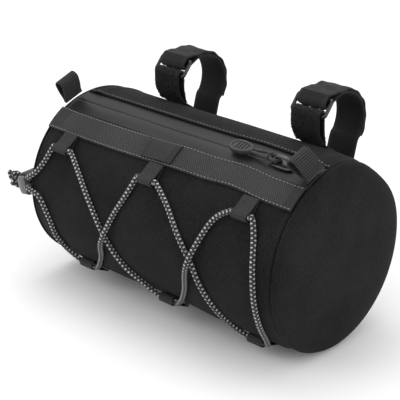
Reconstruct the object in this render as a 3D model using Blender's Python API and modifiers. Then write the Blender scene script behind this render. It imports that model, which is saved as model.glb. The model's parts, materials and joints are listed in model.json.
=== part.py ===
"""Barrel bag for a bicycle handlebar, with laced shock cord, zip and two hook-and-loop straps.

Metres, +Z up. The origin is the centre of the handlebar, midway along the bag.
The bag's own axis runs along X, below and in front of the handlebar; the front is -Y.
Places on the bag are given by x, by an angle that is 0 at the front and 90 at the top,
and by a height above the fabric.
"""
from math import cos, radians, sin, pi

import bmesh
import bpy
from mathutils import Matrix, Vector

# ---------------------------------------------------------------- driving sizes
GAP = 0.0003                    # air left between pieces that touch
BAG_RADIUS = 0.060              # outside of the fabric tube
BAG_LENGTH = 0.208              # between the two end seams
FABRIC = 0.0010
FOAM = 0.0030
LINING = 0.0005
BOARD = 0.0020
END_CROWN = 0.0045              # how far an end panel swells past its seam
BINDING_WIDTH = 0.007
BINDING_THICKNESS = 0.0009

HANDLEBAR_RADIUS = 0.0159
HANDLEBAR_ANGLE = 126.0

ZIP_TOP_ANGLE = 82.0            # turned hem of the top fabric
ZIP_LINE_ANGLE = 71.8           # where the two chains meet
ZIP_BOTTOM_ANGLE = 61.6
ZIP_TAPE = 0.0008
CHAIN_GAP = 0.0014              # the slider's neck runs in it
CHAIN_WIDTH = 0.0022
CHAIN_THICKNESS = 0.0016
STOP_LENGTH = 0.0030
SLIDER_LENGTH = 0.0170
SLIDER_WIDTH = 0.0094
SLIDER_PLATE = 0.0012
SLIDER_SHARE = 0.755            # places along the bag are shares of its half length
SLIDER_NECK = (-0.0030, 0.0050)   # from and to, along the slider
ARCH_HALF = 0.0061              # from the slider's middle to the outside of a post
ARCH_POST = 0.0016
ARCH_WINDOW = 0.0034
PULL_CORD_RADIUS = 0.0009
PULL_BEND = 0.0022
PULL_LENGTH = 0.0200
GRIP_LENGTH = 0.0175
GRIP_WIDTH = 0.0120
GRIP_THICKNESS = 0.0032
GRIP_EDGE = 0.0007

BAND_WIDTH = 0.0170             # webbing along the front
BAND_THICKNESS = 0.0014
BAND_TOP_ANGLE = 60.9
PATCH_LENGTH = 0.0260
PATCH_SHARE = -0.041
PATCH_THICKNESS = 0.0014
PATCH_WIDTH = 0.0138

CORD_RADIUS = 0.0016            # shock cord
CORD_LIFT = 0.0007              # over the fabric between the loops
CORD_ROOM = 0.0007              # round the cord where a webbing loop holds it
LOOP_WIDTH = 0.0120
LOOP_WEBBING = 0.0008
UPPER_LOOP_SHARES = (-0.771, -0.019, 0.721)
UPPER_LOOP_ANGLE = 34.0
LOWER_LOOPS = ((-0.639, -44.0), (0.077, -44.5), (0.740, -52.0))   # share and angle of each
LOWER_LOOP_LENGTH = 0.0140
LOOP_FALL = 0.55                # under 1, a loop falls steeply just past the cord

TAB_WIDTH = 0.0150
TAB_WEBBING = 0.0011
TAB_ANGLE = 70.0
TAB_HINGE_HEIGHT = 0.0020
LEFT_TAB_LENGTH = 0.0155
LEFT_TAB_LEAN = 4.0             # away from the bag
RIGHT_TAB_LENGTH = 0.0165
RIGHT_TAB_LEAN = -48.0          # in over the end of the zip
TAB_OPEN = 0.0052               # inside of the loop where it is widest
TAB_INSET = 0.0005              # in from the end seam

STRAP_WIDTH = 0.0220
STRAP_THICKNESS = 0.0014
LEFT_STRAP_SHARE = -0.558
RIGHT_STRAP_SHARE = 0.577
STRAP_LOOP_RADIUS = 0.0203      # inside of the strap round the handlebar
RING_WIRE = 0.0012              # radius of the ring's wire
RING_LENGTH = 0.0112            # between the centres of its two long bars
RING_LOW_ANGLE = 153.0
RING_HIGH_ANGLE = 127.0
RING_CLEARANCE = 0.0007
RING_STANDOFF = 0.0042          # lower bar's centre, out from the inside of the strap
RING_CORNER = 0.0015
STRAP_FOOT_ANGLE = 116.0        # where the keeper is sewn to the bag
FOOT_LIFT = 0.0006
KEEPER_BULGE = 0.0035
BASE_END_ANGLE = 147.0          # where the strap leaves the bag behind the handlebar
REAR_START_ANGLE = -45.0        # on the handlebar, where the strap's rear leg is round again
FOLD_SLACK = 0.0028             # length of strap that lies loose along the ring
FOLD_PAST_RING = 14.0           # how far the fold goes on over the ring's upper bar
TAIL_START_ANGLE = 98.0
TAIL_END_ANGLE = -32.0

LOCK_OUT = 0.0099 + CORD_RADIUS   # past the left end seam
LOCK_ANGLE = 3.4
LOCK_INSET = 0.0099             # in from the bag's outside
LOCK_AXIS = (-0.975, 0.0, -0.222)
LOCK_LENGTH = 0.0110            # along the cords
LOCK_HEIGHT = 0.0160
LOCK_DEPTH = 0.0145             # along the button's travel
LOCK_WALL = 0.0013
LOCK_EDGE = 0.0012
BUTTON_TRAVEL = 0.0020
BUTTON_BAR = 0.0009             # behind the cords, which it pinches
BUTTON_FACE = 0.0012            # stands this far out when pressed
BUTTON_PLAY = 0.00035
BUTTON_EDGE = 0.0006
SPRING_WIRE = 0.00025           # radius of the wire
SPRING_RADIUS = 0.0024
SPRING_TURNS = 2
SPRING_POINTS = 18              # of the wire, in a turn
STRAND_SPACING = 0.0038
KNOT_RADIUS = 0.0052
KNOT_DISTANCE = 0.0185

# ---------------------------------------------------------------- derived places
BAG_DISTANCE = BAG_RADIUS + GAP + STRAP_THICKNESS + GAP + HANDLEBAR_RADIUS
BAG_Y = BAG_DISTANCE * cos(radians(HANDLEBAR_ANGLE))
BAG_Z = -BAG_DISTANCE * sin(radians(HANDLEBAR_ANGLE))
HALF_LENGTH = BAG_LENGTH / 2
SLIDER_X = SLIDER_SHARE * HALF_LENGTH
PATCH_X = PATCH_SHARE * HALF_LENGTH


def on_bag(x, angle, height=0.0):
    """A point on the bag at x, at an angle from the front, a height above the fabric."""
    radius = BAG_RADIUS + height
    turn = radians(angle)
    return Vector((x, BAG_Y - radius * cos(turn), BAG_Z + radius * sin(turn)))


def bag_frame(x, angle, height=0.0):
    """Axes on the bag: local X along it, local Y round it towards the top, local Z outwards."""
    turn = radians(angle)
    along = Vector((1, 0, 0))
    around = Vector((0, sin(turn), cos(turn)))
    outward = Vector((0, -cos(turn), sin(turn)))
    frame = Matrix((along, around, outward)).transposed().to_4x4()
    frame.translation = on_bag(x, angle, height)
    return frame


def arc_angle(length, radius=BAG_RADIUS):
    """Degrees that a length covers round a radius."""
    return length / radius * 180 / pi


# ---------------------------------------------------------------- scene and materials
for old in list(bpy.data.objects):
    bpy.data.objects.remove(old, do_unlink=True)

PARTS = bpy.data.collections.new("handlebar_bag")
CUTTERS = bpy.data.collections.new("cutters")
bpy.context.scene.collection.children.link(PARTS)
bpy.context.scene.collection.children.link(CUTTERS)


def make_material(name, colour, roughness, metallic=0.0):
    material = bpy.data.materials.new(name)
    material.use_nodes = True
    shader = material.node_tree.nodes["Principled BSDF"]
    shader.inputs["Base Color"].default_value = (*colour, 1.0)
    shader.inputs["Roughness"].default_value = roughness
    shader.inputs["Metallic"].default_value = metallic
    return material


SHELL_FABRIC = make_material("shell_fabric", (0.024, 0.024, 0.023), 0.85)
LINING_FABRIC = make_material("lining_fabric", (0.06, 0.06, 0.065), 0.8)
EVA_FOAM = make_material("foam", (0.10, 0.10, 0.10), 0.9)
STIFFENER = make_material("stiffener", (0.05, 0.05, 0.05), 0.5)
LAMINATED_TAPE = make_material("zip_tape", (0.055, 0.055, 0.056), 0.45)
NYLON = make_material("zip_chain", (0.02, 0.02, 0.02), 0.4)
BLACK_METAL = make_material("black_metal", (0.09, 0.09, 0.09), 0.35, 0.9)
WEBBING = make_material("webbing", (0.03, 0.03, 0.03), 0.8)
HOOK_LOOP = make_material("hook_and_loop", (0.012, 0.012, 0.012), 0.95)
RUBBER = make_material("rubber", (0.04, 0.04, 0.04), 0.6)
SHOCK_CORD = make_material("shock_cord", (0.12, 0.12, 0.12), 0.6)
LOCK_PLASTIC = make_material("lock_plastic", (0.03, 0.03, 0.03), 0.4)
SPRING_STEEL = make_material("spring_steel", (0.5, 0.5, 0.5), 0.3, 1.0)


# ---------------------------------------------------------------- ways of making a piece
def add_object(name, data, material, collection=PARTS):
    piece = bpy.data.objects.new(name, data)
    collection.objects.link(piece)
    if material is not None:
        data.materials.append(material)
    return piece


def mesh_from(name, form):
    """Turns a bmesh into a mesh with smooth faces and sharp edges."""
    mesh = bpy.data.meshes.new(name)
    form.to_mesh(mesh)
    form.free()
    mesh.shade_smooth()
    mesh.set_sharp_from_angle(angle=radians(40))
    return mesh


def add_solidify(piece, thickness, offset):
    solid = piece.modifiers.new("thickness", "SOLIDIFY")
    solid.thickness = thickness
    solid.offset = offset
    solid.use_even_offset = True


def add_bevel(piece, width, segments=2):
    bevel = piece.modifiers.new("edges", "BEVEL")
    bevel.width = width
    bevel.segments = segments
    bevel.limit_method = "ANGLE"
    bevel.angle_limit = radians(50)


def sheet_surface(name, rows, material, thickness, offset=0.0):
    """An open surface through rows of points, given its thickness by Solidify."""
    form = bmesh.new()
    grid = [[form.verts.new(point) for point in row] for row in rows]
    for row, following in zip(grid, grid[1:]):
        for a, b, c, d in zip(row, row[1:], following[1:], following):
            form.faces.new((a, b, c, d))
    piece = add_object(name, mesh_from(name, form), material)
    add_solidify(piece, thickness, offset)
    return piece


def arc_shell(name, material, x_range, angle_range, depth, thickness, step=6.0):
    """A curved panel; depth is how far its inner face lies below the bag's outside."""
    count = max(2, round((angle_range[1] - angle_range[0]) / step))
    rows = []
    for i in range(count + 1):
        angle = angle_range[0] + (angle_range[1] - angle_range[0]) * i / count
        rows.append([on_bag(x, angle, -depth) for x in x_range])
    return sheet_surface(name, rows, material, thickness, offset=1.0)


def turned(name, material, profile, side, steps=64):
    """Spins a profile of (radius, distance out) round the bag's axis, at one end of the bag."""
    form = bmesh.new()
    points = [form.verts.new((radius, 0, out)) for radius, out in profile]
    for a, b in zip(points, points[1:]):
        form.edges.new((a, b))
    if profile[0][0] > 0:
        form.edges.new((points[-1], points[0]))
    piece = add_object(name, mesh_from(name, form), material)
    screw = piece.modifiers.new("turn", "SCREW")
    screw.axis = "Z"
    screw.steps = steps
    screw.render_steps = steps
    screw.use_merge_vertices = True
    screw.merge_threshold = 0.00005
    screw.use_smooth_shade = True
    piece.rotation_euler = (0, side * pi / 2, 0)
    piece.location = (side * HALF_LENGTH, BAG_Y, BAG_Z)
    return piece


def smooth_path(points, spans):
    """Points along a smooth curve that passes through every given point."""
    ends = [points[0] * 2 - points[1]] + list(points) + [points[-1] * 2 - points[-2]]
    path = []
    for before, start, stop, after in zip(ends, ends[1:], ends[2:], ends[3:]):
        for i in range(spans):
            t = i / spans
            path.append(0.5 * (2 * start + (stop - before) * t
                               + (2 * before - 5 * start + 4 * stop - after) * t * t
                               + (3 * start - before - 3 * stop + after) * t ** 3))
    path.append(points[-1])
    return path


def tube(name, material, path, radius, cyclic=False, collection=PARTS):
    """A round wire or cord along a path."""
    curve = bpy.data.curves.new(name, "CURVE")
    curve.dimensions = "3D"
    curve.bevel_depth = radius
    curve.bevel_resolution = 2
    curve.use_fill_caps = True
    spline = curve.splines.new("POLY")
    spline.points.add(len(path) - 1)
    for point, place in zip(spline.points, path):
        point.co = (*place, 1.0)
    spline.use_cyclic_u = cyclic
    return add_object(name, curve, material, collection)


def ribbon(name, material, path, across, width, thickness):
    """A strap: a path in one plane, with its width across that plane."""
    side = across.normalized() * width / 2
    rows = [[point + side, point - side] for point in path]
    return sheet_surface(name, rows, material, thickness)


def block(name, material, frame, low, high, bevel=0.0, collection=PARTS):
    """A box between two corners of a local frame, with rounded edges."""
    form = bmesh.new()
    bmesh.ops.create_cube(form, size=1.0)
    size = Vector(high) - Vector(low)
    centre = (Vector(high) + Vector(low)) / 2
    bmesh.ops.scale(form, vec=size, verts=form.verts)
    bmesh.ops.translate(form, vec=centre, verts=form.verts)
    piece = add_object(name, mesh_from(name, form), material, collection)
    piece.matrix_world = frame
    if bevel:
        add_bevel(piece, bevel)
    return piece


def oval_block(name, material, frame, size, low, high, bevel=0.0, power=2.6, collection=PARTS):
    """A short bar with a rounded outline in the local XY plane, from low to high in Z."""
    form = bmesh.new()
    count = 28
    outline = []
    for i in range(count):
        turn = 2 * pi * i / count
        x = abs(cos(turn)) ** (2 / power) * (1 if cos(turn) >= 0 else -1) * size[0] / 2
        y = abs(sin(turn)) ** (2 / power) * (1 if sin(turn) >= 0 else -1) * size[1] / 2
        outline.append(form.verts.new((x, y, low)))
    bottom = form.faces.new(outline)
    lifted = bmesh.ops.extrude_face_region(form, geom=[bottom])["geom"]
    moved = [item for item in lifted if isinstance(item, bmesh.types.BMVert)]
    bmesh.ops.translate(form, vec=(0, 0, high - low), verts=moved)
    bmesh.ops.recalc_face_normals(form, faces=form.faces)
    piece = add_object(name, mesh_from(name, form), material, collection)
    piece.matrix_world = frame
    if bevel:
        add_bevel(piece, bevel)
    return piece


def hinge_on(name, place, *pieces):
    """Hangs pieces from an empty that marks the axis they turn about."""
    pivot = bpy.data.objects.new(name, None)
    pivot.matrix_world = place
    PARTS.objects.link(pivot)
    for piece in pieces:
        piece.parent = pivot
        piece.matrix_parent_inverse = place.inverted()


def boolean(piece, tool, operation):
    """Cuts a piece with a tool, or joins the tool to it; the tool itself isn't a part."""
    tool.hide_render = True
    tool.display_type = "WIRE"
    step = piece.modifiers.new(tool.name, "BOOLEAN")
    step.operation = operation
    step.solver = "EXACT"
    step.object = tool


# ---------------------------------------------------------------- shell, foam and lining
def build_body():
    mouth_low = ZIP_BOTTOM_ANGLE + 360
    inner_edge = arc_angle(0.0030)
    arc_shell("main_panel", SHELL_FABRIC, (-HALF_LENGTH + GAP, HALF_LENGTH - GAP),
              (ZIP_TOP_ANGLE, mouth_low), FABRIC, FABRIC)
    foam_depth = FABRIC + GAP + FOAM
    lining_depth = foam_depth + GAP + LINING
    inside = HALF_LENGTH - BOARD - LINING - 3 * GAP
    arc_shell("foam_liner", EVA_FOAM, (-inside, inside),
              (ZIP_TOP_ANGLE + inner_edge, mouth_low - inner_edge), foam_depth, FOAM)
    arc_shell("lining_tube", LINING_FABRIC, (-inside, inside),
              (ZIP_TOP_ANGLE + inner_edge, mouth_low - inner_edge), lining_depth, LINING)

    crown = [(BAG_RADIUS * share, END_CROWN * (1 - share ** 3) + FABRIC)
             for share in (0.0, 0.25, 0.45, 0.62, 0.77, 0.89, 0.96)]
    rim = BAG_RADIUS - GAP
    crown_outer = [*crown, (rim, FABRIC), (BAG_RADIUS, FABRIC / 2), (rim, 0)]
    crown_inner = [(radius, out - FABRIC) for radius, out in reversed(crown)]
    board_radius = BAG_RADIUS - FABRIC - GAP
    lining_radius = board_radius - GAP
    ring_outer = BAG_RADIUS - lining_depth - GAP
    ring_low = -BOARD - LINING - 4 * GAP
    for side, label in ((-1, "left"), (1, "right")):
        turned(f"{label}_end_panel", SHELL_FABRIC, crown_outer + crown_inner, side)
        turned(f"{label}_end_board", STIFFENER,
               [(0, -GAP), (board_radius, -GAP), (board_radius, -GAP - BOARD), (0, -GAP - BOARD)], side)
        top = -BOARD - 2 * GAP
        turned(f"{label}_end_lining", LINING_FABRIC,
               [(0, top), (lining_radius, top), (lining_radius, top - LINING), (0, top - LINING)], side)
        turned(f"{label}_seam_binding", LINING_FABRIC,
               [(ring_outer, ring_low), (ring_outer, ring_low - BINDING_WIDTH),
                (ring_outer - BINDING_THICKNESS, ring_low - BINDING_WIDTH),
                (ring_outer - BINDING_THICKNESS, ring_low)], side)


# ---------------------------------------------------------------- zip
def build_zip():
    edge = arc_angle(GAP)
    half_gap = arc_angle(CHAIN_GAP / 2)
    tape_end = HALF_LENGTH - GAP
    tape_depth = GAP + ZIP_TAPE
    arc_shell("zip_tape_upper", LAMINATED_TAPE, (-tape_end, tape_end),
              (ZIP_LINE_ANGLE + half_gap, ZIP_TOP_ANGLE - edge), tape_depth, ZIP_TAPE, step=3.0)
    arc_shell("zip_tape_lower", LAMINATED_TAPE, (-tape_end, tape_end),
              (ZIP_BOTTOM_ANGLE + edge, ZIP_LINE_ANGLE - half_gap), tape_depth, ZIP_TAPE, step=3.0)
    chain_end = HALF_LENGTH - BOARD - LINING - 4 * GAP - BINDING_WIDTH - STOP_LENGTH - 2 * GAP
    chain_depth = tape_depth + GAP + CHAIN_THICKNESS
    for label, sign in (("upper", 1), ("lower", -1)):
        near = ZIP_LINE_ANGLE + sign * half_gap
        far = near + sign * arc_angle(CHAIN_WIDTH)
        arc_shell(f"zip_chain_{label}", NYLON, (-chain_end, chain_end),
                  (min(near, far), max(near, far)), chain_depth, CHAIN_THICKNESS, step=1.0)
    for label, sign in (("left", -1), ("right", 1)):
        frame = bag_frame(sign * (chain_end + GAP + STOP_LENGTH / 2), ZIP_LINE_ANGLE, -chain_depth)
        half_width = CHAIN_WIDTH + CHAIN_GAP / 2
        block(f"zip_stop_{label}", BLACK_METAL, frame, (-STOP_LENGTH / 2, -half_width, 0),
              (STOP_LENGTH / 2, half_width, CHAIN_THICKNESS), bevel=0.0003)
    build_slider(chain_depth)


def build_slider(chain_depth):
    frame = bag_frame(SLIDER_X, ZIP_LINE_ANGLE)
    top = 2 * GAP
    plate_top = top + SLIDER_PLATE
    low = -chain_depth - 2 * GAP
    neck_half = CHAIN_GAP / 2 - 1.2 * GAP
    slider = oval_block("zip_slider", BLACK_METAL, frame, (SLIDER_LENGTH, SLIDER_WIDTH), top, plate_top,
                        power=3.4)
    lower_plate = oval_block("slider_lower_plate", None, frame, (SLIDER_LENGTH, SLIDER_WIDTH),
                             low - SLIDER_PLATE, low, power=3.4, collection=CUTTERS)
    neck = block("slider_neck", None, frame, (SLIDER_NECK[0], -neck_half, low - SLIDER_PLATE / 2),
                 (SLIDER_NECK[1], neck_half, plate_top - SLIDER_PLATE / 2), collection=CUTTERS)
    arch_high = plate_top + ARCH_WINDOW + ARCH_POST
    arch = block("slider_arch", None, frame, (-ARCH_HALF, -ARCH_POST / 2, plate_top - SLIDER_PLATE / 3),
                 (ARCH_HALF, ARCH_POST / 2, arch_high), collection=CUTTERS)
    window = block("slider_window", None, frame, (-ARCH_HALF + ARCH_POST, -ARCH_POST, plate_top),
                   (ARCH_HALF - ARCH_POST, ARCH_POST, plate_top + ARCH_WINDOW), collection=CUTTERS)
    boolean(arch, window, "DIFFERENCE")
    for tool in (lower_plate, neck, arch):
        boolean(slider, tool, "UNION")

    # The pull cord turns round the arch's front post and runs back on both sides of it.
    height = plate_top + ARCH_WINDOW / 2
    post_x = -ARCH_HALF + ARCH_POST / 2
    bend = [Vector((post_x + PULL_BEND * cos(turn), PULL_BEND * sin(turn), height))
            for turn in (radians(90 - 22.5 * i) for i in range(9))]
    run = PULL_LENGTH - PULL_BEND
    strand = [Vector((post_x - run, PULL_BEND * 0.6, height)),
              Vector((post_x - run * 0.5, PULL_BEND * 0.8, height))]
    other = [Vector((point.x, -point.y, point.z)) for point in reversed(strand)]
    path = [frame @ point for point in strand + bend + other]
    cord = tube("pull_cord", WEBBING, path, PULL_CORD_RADIUS)
    grip_frame = frame @ Matrix.Translation((post_x - run - GAP - GRIP_LENGTH / 2, 0, height))
    grip = oval_block("pull_grip", RUBBER, grip_frame, (GRIP_LENGTH, GRIP_WIDTH), -GRIP_THICKNESS / 2,
                      GRIP_THICKNESS / 2, bevel=GRIP_EDGE, power=2.2)
    hinge_on("puller_hinge", frame @ Matrix.Translation((post_x + PULL_BEND, 0, height)), cord, grip)


# ---------------------------------------------------------------- webbing, patch and cord loops
def build_front():
    band_bottom = BAND_TOP_ANGLE - arc_angle(BAND_WIDTH)
    band_end = HALF_LENGTH - GAP
    arc_shell("webbing_band", WEBBING, (-band_end, band_end), (band_bottom, BAND_TOP_ANGLE), -GAP,
              BAND_THICKNESS, step=3.0)
    middle = (band_bottom + BAND_TOP_ANGLE) / 2
    half = arc_angle(PATCH_WIDTH / 2)
    arc_shell("label_patch", RUBBER, (PATCH_X - PATCH_LENGTH / 2, PATCH_X + PATCH_LENGTH / 2),
              (middle - half, middle + half), -(2 * GAP + BAND_THICKNESS), PATCH_THICKNESS, step=3.0)

    room = CORD_RADIUS + CORD_ROOM + LOOP_WEBBING / 2
    centre_height = GAP + LOOP_WEBBING + CORD_ROOM + CORD_RADIUS
    high = (band_bottom - UPPER_LOOP_ANGLE) / 180 * pi * BAG_RADIUS - GAP
    for i, share in enumerate(UPPER_LOOP_SHARES):
        frame = bag_frame(share * HALF_LENGTH, UPPER_LOOP_ANGLE)
        cord_loop(f"upper_cord_loop_{i + 1}", frame, high, room, centre_height)
    for i, (share, angle) in enumerate(LOWER_LOOPS):
        frame = bag_frame(share * HALF_LENGTH, angle) @ Matrix.Rotation(pi, 4, "Z")
        cord_loop(f"lower_cord_loop_{i + 1}", frame, LOWER_LOOP_LENGTH, room, centre_height)


def cord_loop(name, frame, length, room, centre_height):
    """Folded webbing whose bend holds the cord; both ends are sewn at local Y = length."""
    low = centre_height - room
    bend = [Vector((0, room * sin(turn), centre_height - room * cos(turn)))
            for turn in (radians(-30 * i) for i in range(7))]
    inner = [Vector((0, y, curve_drop(y, low))) for y in (length, length * 0.6, length * 0.3)]
    outer_end = low + LOOP_WEBBING + GAP
    outer = []
    for share in (0.3, 0.6, 1.0):
        slope = centre_height + room + (outer_end - centre_height - room) * share ** LOOP_FALL
        outer.append(Vector((0, length * share, curve_drop(length * share, slope))))
    path = [frame @ point for point in inner + bend + outer]
    ribbon(name, WEBBING, path, frame.to_3x3() @ Vector((1, 0, 0)), LOOP_WIDTH, LOOP_WEBBING)


def curve_drop(distance, height):
    """Height over a flat plane that keeps the same height over the round bag."""
    return height - distance * distance / (2 * BAG_RADIUS)


# ---------------------------------------------------------------- shock cord and its lock
def lock_frame():
    """Local X out along the cords, local Z towards the button's face, local Y down the lock."""
    out = Vector(LOCK_AXIS).normalized()
    front = Vector((0.25, -1.0, 0.0))
    front = (front - out * front.dot(out)).normalized()
    down = front.cross(out)
    frame = Matrix((out, down, front)).transposed().to_4x4()
    frame.translation = on_bag(-HALF_LENGTH - LOCK_OUT, LOCK_ANGLE, -LOCK_INSET)
    return frame


def build_shock_cord():
    on_fabric = CORD_RADIUS + CORD_LIFT
    over_cord = on_fabric + 2 * CORD_RADIUS + 2 * GAP
    in_loop = GAP + LOOP_WEBBING + CORD_ROOM + CORD_RADIUS
    edge = LOOP_WIDTH / 2
    straight = edge + 0.0025

    def through_loop(share, angle, way):
        """Straight through a webbing loop, towards +X or -X."""
        shifts = (-straight, -edge, 0.0, edge, straight)
        return [on_bag(share * HALF_LENGTH + way * shift, angle, in_loop) for shift in shifts]

    def lying(share, angle, height=on_fabric):
        """A free place on the front."""
        return on_bag(share * HALF_LENGTH, angle, height)

    # Starts at the knot, goes through the lock and the six loops, and comes back to the knot.
    frame = lock_frame()
    at_knot = KNOT_DISTANCE - KNOT_RADIUS - GAP
    inboard = -LOCK_LENGTH / 2 - 4 * GAP
    upper = [frame @ Vector((x, -STRAND_SPACING / 2, 0)) for x in (at_knot, 0.0, inboard)]
    lower = [frame @ Vector((x, STRAND_SPACING / 2, 0)) for x in (inboard, 0.0, at_knot)]
    up1, up2, up3 = UPPER_LOOP_SHARES
    low1, low2, low3 = LOWER_LOOPS
    high = UPPER_LOOP_ANGLE
    past_rim = on_fabric + 4 * GAP
    rim_x = -HALF_LENGTH - CORD_RADIUS - 5 * GAP
    rim_height = CORD_RADIUS - 4 * GAP
    route = upper + [
        on_bag(rim_x, 9.5, rim_height), on_bag(-HALF_LENGTH, 11.5, past_rim),
        lying(-0.944, 15.5, past_rim), lying(-0.893, 24.0),
        *through_loop(up1, high, 1),
        lying(-0.588, 25.3), lying(-0.446, 11.0),
        lying(-0.303, -9.0), lying(-0.198, -25.0),
        lying(-0.093, -37.0),
        *through_loop(*low2, 1),
        lying(0.240, -36.0), lying(0.333, -22.0),
        lying(0.423, -1.5, over_cord), lying(0.486, 16.0),
        lying(0.550, 28.0),
        *through_loop(up3, high, 1),
        lying(0.846, 25.0), lying(0.883, 9.0),
        lying(0.896, -9.0), lying(0.892, -26.0),
        lying(0.865, -42.0),
        *through_loop(*low3, -1),
        lying(0.590, -42.0), lying(0.538, -28.0),
        lying(0.479, -14.0), lying(0.423, -1.5),
        lying(0.315, 11.0), lying(0.183, 25.0),
        *through_loop(up2, high, -1),
        lying(-0.144, 23.0), lying(-0.226, 8.0),
        lying(-0.303, -9.0, over_cord), lying(-0.399, -25.0),
        lying(-0.490, -37.0),
        *through_loop(*low1, -1),
        lying(-0.793, -36.0), lying(-0.822, -25.0),
        lying(-0.837, -11.0), lying(-0.894, 1.5, past_rim),
        on_bag(-HALF_LENGTH, 4.2, past_rim), on_bag(rim_x, 3.8, rim_height),
    ] + lower
    tube("shock_cord", SHOCK_CORD, smooth_path(route, 2), CORD_RADIUS)


def build_cord_lock():
    frame = lock_frame()
    back = -LOCK_DEPTH / 2
    rim = LOCK_DEPTH / 2
    slot_high = STRAND_SPACING + 2 * CORD_RADIUS + 6 * GAP
    slot_deep = CORD_RADIUS + 3 * GAP
    body = oval_block("cord_lock_body", LOCK_PLASTIC, frame, (LOCK_LENGTH, LOCK_HEIGHT), back, rim,
                      bevel=LOCK_EDGE, power=2.8)
    well = oval_block("lock_well", None, frame, (LOCK_LENGTH - 2 * LOCK_WALL, LOCK_HEIGHT - 2 * LOCK_WALL),
                      back + LOCK_WALL, rim + 0.002, power=2.8, collection=CUTTERS)
    tunnel = block("lock_tunnel", None, frame, (-LOCK_LENGTH, -slot_high / 2, -slot_deep),
                   (LOCK_LENGTH, slot_high / 2, slot_deep), collection=CUTTERS)
    boolean(body, well, "DIFFERENCE")
    boolean(body, tunnel, "DIFFERENCE")

    clear = 2 * (LOCK_WALL + BUTTON_PLAY)
    button_back = -slot_deep - BUTTON_BAR
    button_front = rim + BUTTON_TRAVEL + BUTTON_FACE
    button = oval_block("cord_lock_button", LOCK_PLASTIC, frame, (LOCK_LENGTH - clear, LOCK_HEIGHT - clear),
                        button_back, button_front, bevel=BUTTON_EDGE, power=2.8)
    slot = block("button_slot", None, frame, (-LOCK_LENGTH, -slot_high / 2, -slot_deep),
                 (LOCK_LENGTH, slot_high / 2, slot_deep + BUTTON_TRAVEL), collection=CUTTERS)
    boolean(button, slot, "DIFFERENCE")

    spring_low = back + LOCK_WALL + GAP
    spring_high = button_back - GAP
    rise = spring_high - spring_low - 2 * SPRING_WIRE
    steps = SPRING_TURNS * SPRING_POINTS
    coil = []
    for i in range(steps + 1):
        turn = 2 * pi * i / SPRING_POINTS
        place = Vector((SPRING_RADIUS * cos(turn), SPRING_RADIUS * sin(turn),
                        spring_low + SPRING_WIRE + rise * i / steps))
        coil.append(frame @ place)
    tube("cord_lock_spring", SPRING_STEEL, coil, SPRING_WIRE)

    knot_frame = frame @ Matrix.Translation((KNOT_DISTANCE, 0, 0))
    form = bmesh.new()
    bmesh.ops.create_icosphere(form, subdivisions=3, radius=KNOT_RADIUS)
    knot = add_object("cord_knot", mesh_from("cord_knot", form), SHOCK_CORD)
    knot.matrix_world = knot_frame


# ---------------------------------------------------------------- end tabs
def build_tabs():
    for label, side, length, lean in (("left", -1, LEFT_TAB_LENGTH, LEFT_TAB_LEAN),
                                      ("right", 1, RIGHT_TAB_LENGTH, RIGHT_TAB_LEAN)):
        frame = bag_frame(side * (HALF_LENGTH - TAB_INSET), TAB_ANGLE, TAB_HINGE_HEIGHT)
        frame = frame @ Matrix.Rotation(radians(side * lean), 4, "Y")
        foot = TAB_WEBBING / 2 + GAP / 2
        half_open = TAB_OPEN / 2 + TAB_WEBBING / 2
        crown_low = length - half_open
        rise = [(foot, 0.0), (foot * 1.3, length * 0.2), (half_open * 0.8, length * 0.5)]
        crown = [(half_open * cos(turn), crown_low + half_open * sin(turn))
                 for turn in (radians(30 * i) for i in range(7))]
        outline = rise + crown + [(-out, up) for out, up in reversed(rise)]
        path = [frame @ Vector((out, 0, up)) for out, up in outline]
        tab = ribbon(f"{label}_end_tab", WEBBING, path, frame.to_3x3() @ Vector((0, 1, 0)),
                     TAB_WIDTH, TAB_WEBBING)
        hinge_on(f"{label}_tab_hinge", frame, tab)


# ---------------------------------------------------------------- handlebar straps
def round_bar(x, angle, radius):
    """A point round the handlebar: 0 at the back, 90 on top, 180 at the front."""
    turn = radians(angle)
    return Vector((x, radius * cos(turn), radius * sin(turn)))


def arc_round(centre, radius, start, stop, step=30.0):
    """Points of an arc in the plane across X, by angles from +Y towards +Z."""
    count = max(1, round(abs(stop - start) / step))
    points = []
    for i in range(count + 1):
        turn = radians(start + (stop - start) * i / count)
        points.append(centre + Vector((0, radius * cos(turn), radius * sin(turn))))
    return points


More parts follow.
